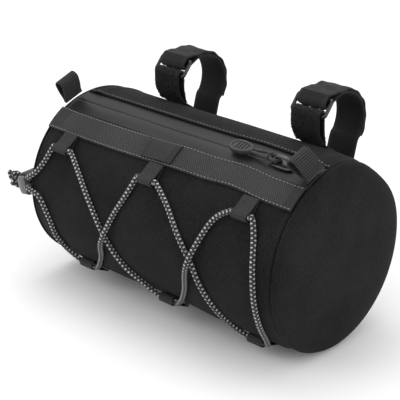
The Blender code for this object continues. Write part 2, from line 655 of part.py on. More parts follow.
def build_strap(label, x):
    across = Vector((1, 0, 0))
    half = STRAP_THICKNESS / 2
    low_bar = round_bar(x, RING_LOW_ANGLE, STRAP_LOOP_RADIUS + RING_STANDOFF)
    ring_lean = radians(RING_LOW_ANGLE + RING_HIGH_ANGLE) / 2 - pi / 2
    along_ring = Vector((0, cos(ring_lean), sin(ring_lean)))
    high_bar = low_bar + along_ring * RING_LENGTH
    wrap = RING_WIRE + RING_CLEARANCE + half

    ring_half = STRAP_WIDTH / 2 + RING_WIRE + RING_CLEARANCE
    corner = RING_CORNER
    ring_path = []
    for cx, centre, first in ((ring_half, high_bar, 0), (-ring_half, high_bar, 90),
                              (-ring_half, low_bar, 180), (ring_half, low_bar, 270)):
        inset_x = -corner if cx > 0 else corner
        inset = -along_ring * corner if centre is high_bar else along_ring * corner
        for i in range(4):
            turn = radians(first + 30 * i)
            ring_path.append(centre + inset + across * (cx + inset_x + corner * cos(turn))
                             + along_ring * corner * sin(turn))
    tube(f"{label}_strap_ring", BLACK_METAL, ring_path, RING_WIRE, cyclic=True)

    # Keeper: sewn to the bag, up to the ring's lower bar, round it and down inside.
    foot_outer = on_bag(x, STRAP_FOOT_ANGLE, half + FOOT_LIFT)
    foot_inner = on_bag(x, STRAP_FOOT_ANGLE + arc_angle(STRAP_THICKNESS + 2 * GAP), half + FOOT_LIFT)
    lean = RING_LOW_ANGLE - 90
    keeper = [foot_outer, foot_outer.lerp(low_bar, 0.45) + Vector((0, -KEEPER_BULGE, 0))]
    keeper += arc_round(low_bar, wrap, 188, lean - 40)
    keeper += [foot_inner.lerp(low_bar, 0.50) + Vector((0, KEEPER_BULGE * 0.1, 0)), foot_inner]
    ribbon(f"{label}_strap_keeper", HOOK_LOOP, keeper, across, STRAP_WIDTH, STRAP_THICKNESS)

    # Main strap: sewn down on the bag, up behind the handlebar, over it, through the ring
    # and round its upper bar. The tail goes on from there and lies back on the strap.
    base_start = STRAP_FOOT_ANGLE + arc_angle(2.5 * STRAP_THICKNESS + FOOT_LIFT)
    base = [on_bag(x, base_start + (BASE_END_ANGLE - base_start) * i / 4, half + GAP) for i in range(5)]
    leave = [on_bag(x, BASE_END_ANGLE + 3.2, half + 2 * GAP), on_bag(x, BASE_END_ANGLE + 4.4, half + 5 * GAP),
             on_bag(x, BASE_END_ANGLE + 4.2, half + 10 * GAP)]
    centre = Vector((x, 0, 0))
    rear = arc_round(centre, STRAP_LOOP_RADIUS + half, REAR_START_ANGLE, RING_HIGH_ANGLE - 24, step=13.0)
    inward = RING_HIGH_ANGLE + 180
    off_ring = (RING_LOW_ANGLE + RING_HIGH_ANGLE) / 2
    fold = arc_round(high_bar - along_ring * FOLD_SLACK, wrap, inward, off_ring, step=24.0)
    fold += arc_round(high_bar, wrap, off_ring, RING_HIGH_ANGLE - FOLD_PAST_RING, step=24.0)
    ribbon(f"{label}_strap_band", HOOK_LOOP, base + leave + rear + fold, across, STRAP_WIDTH,
           STRAP_THICKNESS)

    # The tail peels up about the outer face of the fold.
    hinge_turn = radians(RING_HIGH_ANGLE - FOLD_PAST_RING)
    outward = Vector((0, cos(hinge_turn), sin(hinge_turn)))
    backward = Vector((0, sin(hinge_turn), -cos(hinge_turn)))
    start = fold[-1] + backward * GAP
    hinge = start + outward * half
    lying = arc_round(centre, STRAP_LOOP_RADIUS + STRAP_THICKNESS + 2 * GAP + half, TAIL_START_ANGLE,
                      TAIL_END_ANGLE, step=13.0)
    tail = ribbon(f"{label}_strap_tail", HOOK_LOOP, [start, start + backward * half] + lying,
                  across, STRAP_WIDTH, STRAP_THICKNESS)
    hinge_on(f"{label}_tail_hinge", Matrix.Translation(hinge), tail)


for label, share in (("left", LEFT_STRAP_SHARE), ("right", RIGHT_STRAP_SHARE)):
    build_strap(label, share * HALF_LENGTH)
build_body()
build_zip()
build_front()
build_shock_cord()
build_cord_lock()
build_tabs()
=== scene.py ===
"""Barrel bag for a bicycle handlebar: padded fabric shell, zip, laced shock cord and two straps.

Metres, +Z up, the handlebar's centre at the origin and the bag's front towards -Y.
Places on the bag are given by x, an angle (0 front, 90 top) and a height above the fabric.
"""
import json
from math import cos, pi, radians, sin

import bmesh
import bpy
import numpy as np
from mathutils import Matrix, Vector
from mathutils.kdtree import KDTree

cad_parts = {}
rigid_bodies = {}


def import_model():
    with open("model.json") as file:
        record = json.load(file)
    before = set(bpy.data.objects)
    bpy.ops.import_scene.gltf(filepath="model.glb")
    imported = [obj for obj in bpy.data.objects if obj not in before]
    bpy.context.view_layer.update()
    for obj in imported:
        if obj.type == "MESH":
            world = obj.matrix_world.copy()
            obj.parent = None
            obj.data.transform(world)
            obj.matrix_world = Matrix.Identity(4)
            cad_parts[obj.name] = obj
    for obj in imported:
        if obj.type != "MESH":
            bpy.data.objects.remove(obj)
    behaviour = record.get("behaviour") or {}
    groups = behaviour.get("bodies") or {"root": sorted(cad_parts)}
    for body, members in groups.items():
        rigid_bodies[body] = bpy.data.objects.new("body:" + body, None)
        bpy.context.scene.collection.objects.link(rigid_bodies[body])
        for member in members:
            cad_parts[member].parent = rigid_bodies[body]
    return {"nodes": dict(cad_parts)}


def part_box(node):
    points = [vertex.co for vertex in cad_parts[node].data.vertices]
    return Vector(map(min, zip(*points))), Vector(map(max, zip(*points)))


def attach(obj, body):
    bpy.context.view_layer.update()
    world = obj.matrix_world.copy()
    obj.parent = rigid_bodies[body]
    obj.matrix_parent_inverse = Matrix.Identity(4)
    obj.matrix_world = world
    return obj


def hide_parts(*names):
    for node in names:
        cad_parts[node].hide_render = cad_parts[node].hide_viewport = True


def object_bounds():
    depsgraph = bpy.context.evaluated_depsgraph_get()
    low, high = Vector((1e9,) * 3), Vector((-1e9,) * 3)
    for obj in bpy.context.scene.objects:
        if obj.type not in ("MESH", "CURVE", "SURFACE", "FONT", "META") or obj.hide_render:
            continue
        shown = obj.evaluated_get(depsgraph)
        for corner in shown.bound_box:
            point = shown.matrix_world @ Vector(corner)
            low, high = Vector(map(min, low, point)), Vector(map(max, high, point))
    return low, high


for leftover in list(bpy.data.objects):
    bpy.data.objects.remove(leftover)
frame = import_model()
cad_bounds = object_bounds()

# ---------------------------------------------------------------- camera, lights and floor
# The bag stands on a pale studio floor. The camera looks at the front and the right end
# from a little above, and soft boxes light the top, the front and the right end.
end_low, end_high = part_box("left_end_panel")
BAG_RADIUS = (end_high[1] - end_low[1]) / 2
BAG_Y = (end_high[1] + end_low[1]) / 2
BAG_Z = (end_high[2] + end_low[2]) / 2
HALF_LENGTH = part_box("main_panel")[1][0]
GAP = 0.0003

CAMERA_AZIMUTH = radians(43.3)
CAMERA_ELEVATION = radians(23.3)
CAMERA_DISTANCE = 0.814

backwards = Vector((sin(CAMERA_AZIMUTH) * cos(CAMERA_ELEVATION),
                    -cos(CAMERA_AZIMUTH) * cos(CAMERA_ELEVATION), sin(CAMERA_ELEVATION)))
rightwards = Vector((cos(CAMERA_AZIMUTH), sin(CAMERA_AZIMUTH), 0))
upwards = backwards.cross(rightwards)
camera = bpy.data.objects.new("camera", bpy.data.cameras.new("camera"))
camera.matrix_world = Matrix((rightwards, upwards, backwards)).transposed().to_4x4()
camera.matrix_world.translation = Vector((0, BAG_Y, BAG_Z)) + backwards * CAMERA_DISTANCE
camera.data.lens = 113.7
camera.data.sensor_width = 36
camera.data.shift_x = -0.021
camera.data.shift_y = 0.025
bpy.context.scene.collection.objects.link(camera)
bpy.context.scene.camera = camera


def soft_box(name, place, aim, size, power):
    """A square area light that faces a point."""
    light = bpy.data.lights.new(name, "AREA")
    light.size = size
    light.energy = power
    lamp = bpy.data.objects.new(name, light)
    lamp.location = place
    lamp.rotation_euler = (Vector(aim) - Vector(place)).to_track_quat("-Z", "Y").to_euler()
    bpy.context.scene.collection.objects.link(lamp)


bag_centre = (0, BAG_Y, BAG_Z)
soft_box("overhead_box", (-0.25, 0.15, 0.95), bag_centre, 0.8, 4.4)
soft_box("front_box", (-0.55, -0.95, 0.55), bag_centre, 0.7, 3.2)
soft_box("right_box", (1.0, -0.25, 0.35), bag_centre, 0.7, 2.8)

world = bpy.data.worlds.new("studio")
world.use_nodes = True
world.node_tree.nodes["Background"].inputs["Color"].default_value = (1, 1, 1, 1)
world.node_tree.nodes["Background"].inputs["Strength"].default_value = 0.95
bpy.context.scene.world = world
bpy.context.scene.view_settings.view_transform = "Standard"

FLOOR_SIZE = 8.0
floor_mesh = bpy.data.meshes.new("floor")
corners = [(x * FLOOR_SIZE / 2, y * FLOOR_SIZE / 2, 0) for x, y in ((-1, -1), (1, -1), (1, 1), (-1, 1))]
floor_mesh.from_pydata(corners, [], [(0, 1, 2, 3)])
floor = bpy.data.objects.new("floor", floor_mesh)
floor.location.z = cad_bounds[0][2] - 0.001
bpy.context.scene.collection.objects.link(floor)
floor_paint = bpy.data.materials.new("floor_paint")
floor_paint.use_nodes = True
floor_paint.node_tree.nodes["Principled BSDF"].inputs["Base Color"].default_value = (0.86, 0.86, 0.86, 1)
floor_paint.node_tree.nodes["Principled BSDF"].inputs["Roughness"].default_value = 0.8
floor_mesh.materials.append(floor_paint)

# ---------------------------------------------------------------- shock cord and its knot
# Rubber-cored cord, 3.2 mm, in a woven black sleeve with light flecks. It runs from the
# knot through the cord lock, crosses the front in six webbing loops and comes back.
CORD_RADIUS = 0.0016
CORD_LIFT = 0.0007
CORD_ROOM = 0.0007
FLECK_PITCH = 0.0027
LOOP_WIDTH = 0.0120
LOOP_WEBBING = 0.0008
UPPER_LOOP_X = (-0.0802, -0.0020, 0.0750)
UPPER_LOOP_ANGLE = 34.0
LOWER_LOOPS = ((-0.0665, -44.0), (0.0080, -44.5), (0.0770, -52.0))
LOCK_CENTRE = Vector((-0.1155, BAG_Y - 0.0500, BAG_Z + 0.0030))
LOCK_AXIS = Vector((-0.975, 0.0, -0.222)).normalized()
LOCK_LENGTH = 0.0110
STRAND_SPACING = 0.0038
KNOT_RADIUS = 0.0052
KNOT_DISTANCE = 0.0185


def on_bag(x, angle, height=0.0):
    """Places on the bag, one or many."""
    x, turn, height = np.broadcast_arrays(x, np.radians(angle), height)
    radius = BAG_RADIUS + height
    return np.stack([x, BAG_Y - radius * np.cos(turn), BAG_Z + radius * np.sin(turn)], axis=-1)


def smooth_path(points, spacing):
    """Evenly spaced points along a smooth curve through the given ones; extra columns ride along."""
    points = np.array(points, dtype=float)
    ends = np.vstack([2 * points[0] - points[1], points, 2 * points[-1] - points[-2]])
    t = np.linspace(0, 1, 24, endpoint=False)[:, None]
    fine = [0.5 * (2 * b + (c - a) * t + (2 * a - 5 * b + 4 * c - d) * t ** 2
                   + (3 * b - a - 3 * c + d) * t ** 3)
            for a, b, c, d in zip(ends, ends[1:], ends[2:], ends[3:])]
    fine = np.vstack([*fine, points[-1:]])
    run = distance_along(fine)
    even = np.linspace(0, run[-1], max(3, round(run[-1] / spacing) + 1))
    return np.column_stack([np.interp(even, run, column) for column in fine.T])


def distance_along(path):
    """How far along a path each of its points is."""
    steps = np.linalg.norm(np.diff(path[:, :3], axis=0), axis=1)
    return np.concatenate([[0.0], np.cumsum(steps)])


def grid_mesh(name, points, along, across, loop=False):
    """A mesh on rows of points. along and across are its UV in metres; loop joins each row's ends."""
    rows, columns = points.shape[:2]
    index = np.arange(rows * columns).reshape(rows, columns)
    if loop:
        index = np.column_stack([index, index[:, :1]])
    corner = (slice(None, -1), slice(None, -1)), (slice(1, None), slice(None, -1)), \
        (slice(1, None), slice(1, None)), (slice(None, -1), slice(1, None))
    faces = np.stack([index[c] for c in corner], axis=-1).reshape(-1, 4)
    mesh = bpy.data.meshes.new(name)
    mesh.from_pydata(points.reshape(-1, 3).tolist(), [], faces.tolist())
    u = np.broadcast_to(along if along.ndim > 1 else along[:, None], index.shape)
    v = np.broadcast_to(across, index.shape)
    uv = np.stack([np.stack([u[c], v[c]], axis=-1) for c in corner], axis=-2)
    layer = mesh.uv_layers.new(name="UVMap")
    layer.data.foreach_set("uv", uv.reshape(-1).astype(np.float32))
    mesh.shade_smooth()
    return mesh


def add_piece(name, mesh, material):
    """Puts a mesh in the scene at the origin, in its material."""
    mesh.name = name
    piece = bpy.data.objects.new(name, mesh)
    bpy.context.scene.collection.objects.link(piece)
    mesh.materials.clear()
    mesh.materials.append(material)
    return piece


def close_up(mesh):
    """Fills a swept mesh's open ends and turns its faces outwards."""
    form = bmesh.new()
    form.from_mesh(mesh)
    open_edges = [edge for edge in form.edges if edge.is_boundary]
    bmesh.ops.holes_fill(form, edges=open_edges, sides=0)
    bmesh.ops.recalc_face_normals(form, faces=form.faces)
    form.to_mesh(mesh)
    form.free()
    mesh.shade_smooth()
    mesh.set_sharp_from_angle(angle=radians(45))
    return mesh


def travelling_frames(path):
    """Unit vectors across and above a path, turned as little as possible from point to point."""
    tangents = np.gradient(path, axis=0)
    tangents /= np.linalg.norm(tangents, axis=1)[:, None]
    side = np.cross(tangents[0], (0.3, 0.2, 0.93))
    sides = []
    for tangent in tangents:
        side = side - tangent * side.dot(tangent)
        side = side / np.linalg.norm(side)
        sides.append(side)
    sides = np.array(sides)
    return sides, np.cross(tangents, sides)


def braided_tube(name, path, radius, pitch, slack=None, sides=16):
    """A cord along a path, knobbly where the sleeve's threads cross; slack closes the braid up."""
    across, above = travelling_frames(path)
    run = distance_along(path)
    if slack is not None:
        run = distance_along(np.column_stack([np.cumsum(1 + 1.1 * slack) * (run[1] - run[0]), run * 0,
                run * 0]))
    turn = np.linspace(0, 2 * pi, sides + 1)
    lumps = np.cos(2 * pi * run / pitch)[:, None] * np.cos(2 * turn)[None, :-1]
    reach = radius * (1 + 0.075 * lumps)
    ends = np.minimum(1, np.sqrt(np.minimum(distance_along(path),
            distance_along(path)[::-1]) / radius + 0.15))
    reach *= ends[:, None]
    points = (path[:, None] + across[:, None] * (reach * np.cos(turn[:-1]))[..., None]
              + above[:, None] * (reach * np.sin(turn[:-1]))[..., None])
    return close_up(grid_mesh(name, points, run / pitch, turn / (2 * pi), loop=True))


def connect(tree, value, socket):
    """Links a value into a socket, or sets it there."""
    if isinstance(value, bpy.types.NodeSocket):
        tree.links.new(value, socket)
    else:
        socket.default_value = value


def maths(tree, operation, *values):
    node = tree.nodes.new("ShaderNodeMath")
    node.operation = operation
    for value, socket in zip(values, node.inputs):
        connect(tree, value, socket)
    return node.outputs[0]


def ramp(tree, value, low, high, to_low=0.0, to_high=1.0):
    """Smoothly maps low..high to to_low..to_high."""
    node = tree.nodes.new("ShaderNodeMapRange")
    node.interpolation_type = "SMOOTHSTEP"
    for item, socket in zip((value, low, high, to_low, to_high), node.inputs):
        connect(tree, item, socket)
    return node.outputs[0]


def shader_group(name, inputs, outputs, build):
    """A node group whose build function is given its tree and inputs and returns its outputs."""
    group = bpy.data.node_groups.new(name, "ShaderNodeTree")
    for label, kind in inputs:
        group.interface.new_socket(label, in_out="INPUT", socket_type=kind)
    for label in outputs:
        group.interface.new_socket(label, in_out="OUTPUT", socket_type="NodeSocketFloat")
    arriving = group.nodes.new("NodeGroupInput")
    leaving = group.nodes.new("NodeGroupOutput")
    results = build(group, *[arriving.outputs[label] for label, kind in inputs])
    for result, label in zip(results, outputs):
        group.links.new(result, leaving.inputs[label])
    return group


def use_group(tree, group, *values):
    """Places a group in a tree with its input values and returns its outputs."""
    node = tree.nodes.new("ShaderNodeGroup")
    node.node_tree = group
    for value, socket in zip(values, node.inputs):
        connect(tree, value, socket)
    return list(node.outputs)


def noise(tree, vector, scale, detail=3.0, roughness=0.55):
    node = tree.nodes.new("ShaderNodeTexNoise")
    tree.links.new(vector, node.inputs["Vector"])
    node.inputs["Scale"].default_value = scale
    node.inputs["Detail"].default_value = detail
    node.inputs["Roughness"].default_value = roughness
    return node.outputs["Fac"]


def build_mottle(tree, place, amount):
    broad = ramp(tree, noise(tree, place, 28.0), 0.3, 0.7, -1.0, 1.0)
    fine = ramp(tree, noise(tree, place, 900.0, 2.0), 0.3, 0.7, -1.0, 1.0)
    both = maths(tree, "ADD", maths(tree, "MULTIPLY", broad, 0.6), maths(tree, "MULTIPLY", fine, 0.9))
    return [maths(tree, "MULTIPLY_ADD", both, amount, 1.0)]


# Uneven shade over a surface: broad patches and single threads.
MOTTLE = shader_group("mottle", [("Place", "NodeSocketVector"), ("Amount", "NodeSocketFloat")], ["Shade"],
                      build_mottle)


class Finish:
    """A material being made: its tree, its shader, and the places that patterns are read at."""

    def __init__(self, name, roughness, **sockets):
        self.material = bpy.data.materials.new(name)
        self.material.use_nodes = True
        self.tree = self.material.node_tree
        self.shader = self.tree.nodes["Principled BSDF"]
        self.shader.inputs["Roughness"].default_value = roughness
        for label, value in sockets.items():
            self.shader.inputs[label.replace("_", " ")].default_value = value
        self.place = self.tree.nodes.new("ShaderNodeTexCoord").outputs["Object"]
        uv = self.tree.nodes.new("ShaderNodeUVMap")
        uv.uv_map = "UVMap"
        split = self.tree.nodes.new("ShaderNodeSeparateXYZ")
        self.tree.links.new(uv.outputs["UV"], split.inputs["Vector"])
        self.along, self.across = split.outputs["X"], split.outputs["Y"]

    def paint(self, low, high, blend, shade=1.0):
        """Base colour from low to high by a mask, times a shade."""
        mix = self.tree.nodes.new("ShaderNodeMix")
        mix.data_type = "RGBA"
        connect(self.tree, blend, mix.inputs["Factor"])
        mix.inputs["A"].default_value = (*low, 1.0)
        mix.inputs["B"].default_value = (*high, 1.0)
        scale = self.tree.nodes.new("ShaderNodeVectorMath")
        scale.operation = "SCALE"
        self.tree.links.new(mix.outputs["Result"], scale.inputs["Vector"])
        connect(self.tree, shade, scale.inputs["Scale"])
        self.tree.links.new(scale.outputs["Vector"], self.shader.inputs["Base Color"])

    def relief(self, height, depth):
        """Bump from a height of 0 to 1 that stands for a depth in metres."""
        bump = self.tree.nodes.new("ShaderNodeBump")
        bump.inputs["Strength"].default_value = 1.0
        bump.inputs["Distance"].default_value = depth
        connect(self.tree, height, bump.inputs["Height"])
        self.tree.links.new(bump.outputs["Normal"], self.shader.inputs["Normal"])

    def gloss(self, low, high, blend):
        """Roughness from low to high by a mask."""
        value = maths(self.tree, "MULTIPLY_ADD", blend, high - low, low)
        self.tree.links.new(value, self.shader.inputs["Roughness"])


def cord_finish(name, dark, light, rows):
    """A woven sleeve with light flecks where one thread in two comes over."""
    finish = Finish(name, 0.6, Sheen_Weight=0.15)
    tree = finish.tree
    wave = maths(tree, "COSINE", maths(tree, "MULTIPLY", finish.along, 2 * pi))
    round_about = maths(tree, "COSINE", maths(tree, "MULTIPLY", finish.across, 2 * pi * rows))
    crossing = maths(tree, "MULTIPLY", wave, round_about)
    fleck = ramp(tree, crossing, 0.34, 0.60)
    strand = maths(tree, "MULTIPLY_ADD", finish.across, 44.0, maths(tree, "MULTIPLY", finish.along, 9.0))
    strand = maths(tree, "ABSOLUTE", maths(tree, "SINE", maths(tree, "MULTIPLY", strand, pi)))
    mottle, = use_group(tree, MOTTLE, finish.place, 0.22)
    # Painted shade: the grooves between the sleeve's strands are darkened, on top of the random mottle.
    shade = maths(tree, "MULTIPLY", mottle, maths(tree, "MULTIPLY_ADD", strand, 0.3, 0.75))
    finish.paint(dark, light, fleck, shade)
    finish.relief(maths(tree, "ADD", crossing, maths(tree, "MULTIPLY", strand, 0.5)), 0.00012)
    finish.gloss(0.75, 0.42, fleck)
    return finish.material


def lock_place():
    """Local X out along the cords, local Z towards the button's face, local Y down the lock."""
    front = Vector((0.25, -1.0, 0.0))
    front = (front - LOCK_AXIS * front.dot(LOCK_AXIS)).normalized()
    place = Matrix((LOCK_AXIS, front.cross(LOCK_AXIS), front)).transposed().to_4x4()
    place.translation = LOCK_CENTRE
    return place


lock = lock_place()
on_fabric = CORD_RADIUS + CORD_LIFT
over_cord = on_fabric + 2 * CORD_RADIUS + 2 * GAP
in_loop = GAP + LOOP_WEBBING + CORD_ROOM + CORD_RADIUS
past_rim = on_fabric + 4 * GAP


def through_loop(x, angle, way, slack=0.0):
    """Straight through a webbing loop, towards +X or -X."""
    edge = LOOP_WIDTH / 2
    return [(*on_bag(x + way * shift, angle, in_loop), slack if shift < 0 else 0.0)
            for shift in (-edge - 0.0025, -edge, 0.0, edge, edge + 0.0025)]


def over_front(*places):
    """Free places on the front: x, angle, height, and how slack the sleeve is."""
    return [(*on_bag(x, angle, height), slack) for x, angle, height, slack in places]


def in_lock(x, side):
    return (*(lock @ Vector((x, side * STRAND_SPACING / 2, 0))), 0.0)


at_knot = KNOT_DISTANCE - KNOT_RADIUS + 0.0010
inboard = -LOCK_LENGTH / 2 - 4 * GAP
cord_route = [
    in_lock(at_knot, -1), in_lock(0.0, -1), in_lock(inboard, -1),
    *over_front((-0.1072, 9.5, GAP, 0), (-0.1042, 11.5, past_rim, 0), (-0.0982, 15.5, past_rim, 0),
                (-0.0929, 24.0, on_fabric, 0)),
    *through_loop(UPPER_LOOP_X[0], UPPER_LOOP_ANGLE, 1),
    *over_front((-0.0612, 25.3, on_fabric, 0), (-0.0464, 11.0, on_fabric, 0), (-0.0315, -9.0, on_fabric, 0),
                (-0.0206, -25.0, on_fabric, 0), (-0.0097, -37.0, on_fabric, 0)),
    *through_loop(*LOWER_LOOPS[1], 1),
    *over_front((0.0250, -36.0, on_fabric, 1), (0.0346, -22.0, on_fabric, 0.8),
            (0.0440, -1.5, over_cord, 0.1),
                (0.0505, 16.0, on_fabric, 0), (0.0572, 28.0, on_fabric, 0)),
    *through_loop(UPPER_LOOP_X[2], UPPER_LOOP_ANGLE, 1),
    *over_front((0.0880, 25.0, on_fabric, 0), (0.0918, 9.0, on_fabric, 0), (0.0932, -9.0, on_fabric, 0),
                (0.0928, -26.0, on_fabric, 0), (0.0900, -42.0, on_fabric, 0)),
    *through_loop(*LOWER_LOOPS[2], -1),
    *over_front((0.0614, -42.0, on_fabric, 0), (0.0560, -28.0, on_fabric, 0), (0.0498, -14.0, on_fabric, 0),
                (0.0440, -1.5, on_fabric, 0), (0.0328, 11.0, on_fabric, 0), (0.0190, 25.0, on_fabric, 0)),
    *through_loop(UPPER_LOOP_X[1], UPPER_LOOP_ANGLE, -1),
    *over_front((-0.0150, 23.0, on_fabric, 0), (-0.0235, 8.0, on_fabric, 0),
            (-0.0315, -9.0, over_cord, 0.1),
                (-0.0415, -25.0, on_fabric, 0.8), (-0.0510, -37.0, on_fabric, 1)),
    *through_loop(*LOWER_LOOPS[0], -1, 1.0),
    *over_front((-0.0825, -36.0, on_fabric, 0), (-0.0855, -25.0, on_fabric, 0),
            (-0.0870, -11.0, on_fabric, 0),
                (-0.0930, 1.5, past_rim, 0), (-0.1042, 4.2, past_rim, 0), (-0.1072, 3.8, GAP, 0)),
    in_lock(inboard, 1), in_lock(0.0, 1), in_lock(at_knot, 1),
]
cord_path = smooth_path(cord_route, 0.00035)
FLECKED = cord_finish("flecked_sleeve", (0.010, 0.010, 0.010), (0.50, 0.50, 0.48), 2.0)
cord = add_piece("shock_cord_sleeve",
                 braided_tube("shock_cord_sleeve", cord_path[:, :3], CORD_RADIUS, FLECK_PITCH,
                         cord_path[:, 3]),
                 FLECKED)
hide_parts("shock_cord")
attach(cord, "root")

# Both ends are tied together in one overhand knot, with two short tails under it.
KNOT_SIZE = 0.00155
turn = np.linspace(0, 2 * pi, 260)
knot_local = KNOT_SIZE * np.column_stack([
    np.sin(turn) + 2 * np.sin(2 * turn), np.cos(turn) - 2 * np.cos(2 * turn), -1.35 * np.sin(3 * turn)])
knot_turned = Matrix.Rotation(radians(35), 3, "Y") @ Matrix.Rotation(radians(20), 3, "X")
knot_path = np.array([lock @ (knot_turned @ Vector(p) + Vector((KNOT_DISTANCE, 0, 0))) for p in knot_local])
tail_paths = [smooth_path([lock @ Vector((KNOT_DISTANCE + x, y, z)) for x, y, z in places], 0.00035)
              for places in (((0.0005, 0.001, 0.0015), (0.0022, -0.003, 0.0020), (0.0032, -0.0075, 0.0012)),
                             ((-0.0005, 0.001, -0.001), (-0.0015, -0.003, 0.0012),
                                     (-0.0022, -0.0072, 0.0024)))]


def join_meshes(name, meshes):
    """Several meshes as one."""
    form = bmesh.new()
    for mesh in meshes:
        form.from_mesh(mesh)
    joined = bpy.data.meshes.new(name)
    form.to_mesh(joined)
    form.free()
    return joined


knot = add_piece("tied_knot", join_meshes("tied_knot", [
    braided_tube("knot_turns", path, CORD_RADIUS * 1.05, FLECK_PITCH) for path in (knot_path,
            *tail_paths)]), FLECKED)
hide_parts("cord_knot")
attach(knot, "root")

# ---------------------------------------------------------------- fabric shell and end panels
# Black coated polyester in plain weave over a foam sleeve. The shell is one panel, hemmed
# over the zip and seamed to a padded round panel at each end; the taut cord dents it.
SHELL_ANGLES = (82.4, 421.6)
FABRIC = 0.0010
THREAD = 0.0009
HEM_WIDTH = 0.0034
HEM_RISE = 0.0010


def build_weave(tree, along, across, pitch):
    a = maths(tree, "SINE", maths(tree, "MULTIPLY", maths(tree, "DIVIDE", along, pitch), pi))
    b = maths(tree, "SINE", maths(tree, "MULTIPLY", maths(tree, "DIVIDE", across, pitch), pi))
    crossing = maths(tree, "MULTIPLY", a, b)
    height = maths(tree, "POWER", maths(tree, "ABSOLUTE", crossing), 0.6)
    return [height, ramp(tree, crossing, -0.2, 0.2)]


# Plain weave: the height of the threads, and which of the two threads is on top.
WEAVE = shader_group("plain_weave", [("Along", "NodeSocketFloat"), ("Across", "NodeSocketFloat"),
                                     ("Pitch", "NodeSocketFloat")], ["Height", "Upper"], build_weave)


def woven_finish(name, colour, pitch, roughness, depth, mottle_amount=0.2, **sockets):
    """Plain woven cloth, its two threads painted a little lighter and darker where they would catch the light
    differently, with painted shade between the threads.
    """
    finish = Finish(name, roughness, **sockets)
    tree = finish.tree
    height, upper = use_group(tree, WEAVE, finish.along, finish.across, pitch)
    mottle, = use_group(tree, MOTTLE, finish.place, mottle_amount)
    # Painted shade and reflection: the colour is darker in the valleys between threads, and the upper thread
    # in each cell is painted lighter or darker as if lit differently.
    shade = maths(tree, "MULTIPLY", mottle, maths(tree, "MULTIPLY_ADD", height, 0.5, 0.62))
    finish.paint(tuple(c * 0.82 for c in colour), tuple(c * 1.18 for c in colour), upper, shade)
    finish.relief(height, depth)
    finish.gloss(roughness - 0.06, roughness + 0.06, height)
    return finish.material


SHELL_CLOTH = woven_finish("coated_polyester", (0.0085, 0.0085, 0.0082), THREAD, 0.80, 0.00018, 0.50,
                           Sheen_Weight=0.008, Sheen_Roughness=0.5, Specular_IOR_Level=0.14)


def hem_angle(x):
    """Where the hem's edge runs: it lies back a little behind the slider."""
    return SHELL_ANGLES[0] + 1.5 * np.exp(-((x - 0.052) / 0.022) ** 2) - 2.2 * ramp_between(x, 0.085, 0.103)


def ramp_between(value, low, high):
    """Smooth step from 0 to 1."""
    t = np.clip((value - low) / (high - low), 0, 1)
    return t * t * (3 - 2 * t)


def shell_height(x, angle):
    """How far the cloth stands off its plain tube."""
    inward = HALF_LENGTH - np.abs(x)
    past_hem = np.radians(angle - hem_angle(x)) * BAG_RADIUS
    height = -0.0012 * np.exp(-(inward / 0.0011) ** 2) - 0.0005 * np.exp(-((inward - 0.0045) / 0.0022) ** 2)
    height += 0.0006 * np.exp(-((inward - 0.0100) / 0.0035) ** 2)
    height += HEM_RISE * (1 - ramp_between(past_hem, HEM_WIDTH, HEM_WIDTH + 0.0030))
    height -= 0.0005 * np.exp(-((past_hem - HEM_WIDTH * 0.72) / 0.0006) ** 2)
    height += (0.0004 * np.sin(x * 61 + 1.3) * np.sin(np.radians(angle) * 3 + 0.6)
               * ramp_between(past_hem, 0.01, 0.03))
    return height - soft_places(x, angle)


def soft_places(x, angle):
    """How far the cloth has sunk: at the back by the right end, and underneath to the left."""
    from_dent = (np.mod(angle - 130 + 180, 360) - 180) / 22
    from_under = (np.mod(angle + 66 + 180, 360) - 180) / 26
    dent = 0.0030 * np.exp(-from_dent ** 2) * ramp_between(x, 0.078, 0.102)
    under = 0.0012 * np.exp(-from_under ** 2) * (1 - ramp_between(x, 0.02, 0.07))
    return dent + under


def thicken(piece, thickness, offset):
    """Gives a sheet its wall, as part of its mesh."""
    wall = piece.modifiers.new("wall", "SOLIDIFY")
    wall.thickness = thickness
    wall.offset = offset
    settle_mesh(piece)


def settle_mesh(piece):
    """Makes a piece's modifiers part of its mesh."""
    evaluated = piece.evaluated_get(bpy.context.evaluated_depsgraph_get())
    mesh = bpy.data.meshes.new_from_object(evaluated)
    piece.modifiers.clear()
    material = piece.data.materials[0]
    mesh.materials.clear()
    mesh.materials.append(material)
    mesh.polygons.foreach_set("material_index", [0] * len(mesh.polygons))
    piece.data = mesh
    mesh.name = piece.name


def flip(mesh):
    mesh.flip_normals()
    return mesh


GRID = 0.0020
shell_x = np.linspace(-HALF_LENGTH + GAP, HALF_LENGTH - GAP, round(2 * HALF_LENGTH / GRID) + 1)
shell_x = np.sort(np.concatenate([shell_x, [s * (HALF_LENGTH - d) for s in (-1, 1) for d in (0.0008,
        0.0014, 0.003)]]))
hem_steps = np.array([0, 0.0006, 0.0012, 0.0018, 0.0024, 0.0030, 0.0036, 0.0044, 0.0052,
        0.0064]) / BAG_RADIUS
hem_steps = np.degrees(hem_steps)
sweep_angles = np.linspace(hem_steps[-1] + 2, SHELL_ANGLES[1] - SHELL_ANGLES[0], 170)
steps = np.concatenate([hem_steps, sweep_angles])
share = steps / steps[-1]
grid_angle = hem_angle(shell_x)[:, None] + (SHELL_ANGLES[1] - hem_angle(shell_x))[:, None] * share[None, :]
grid_x = np.broadcast_to(shell_x[:, None], grid_angle.shape)
height = shell_height(grid_x, grid_angle)

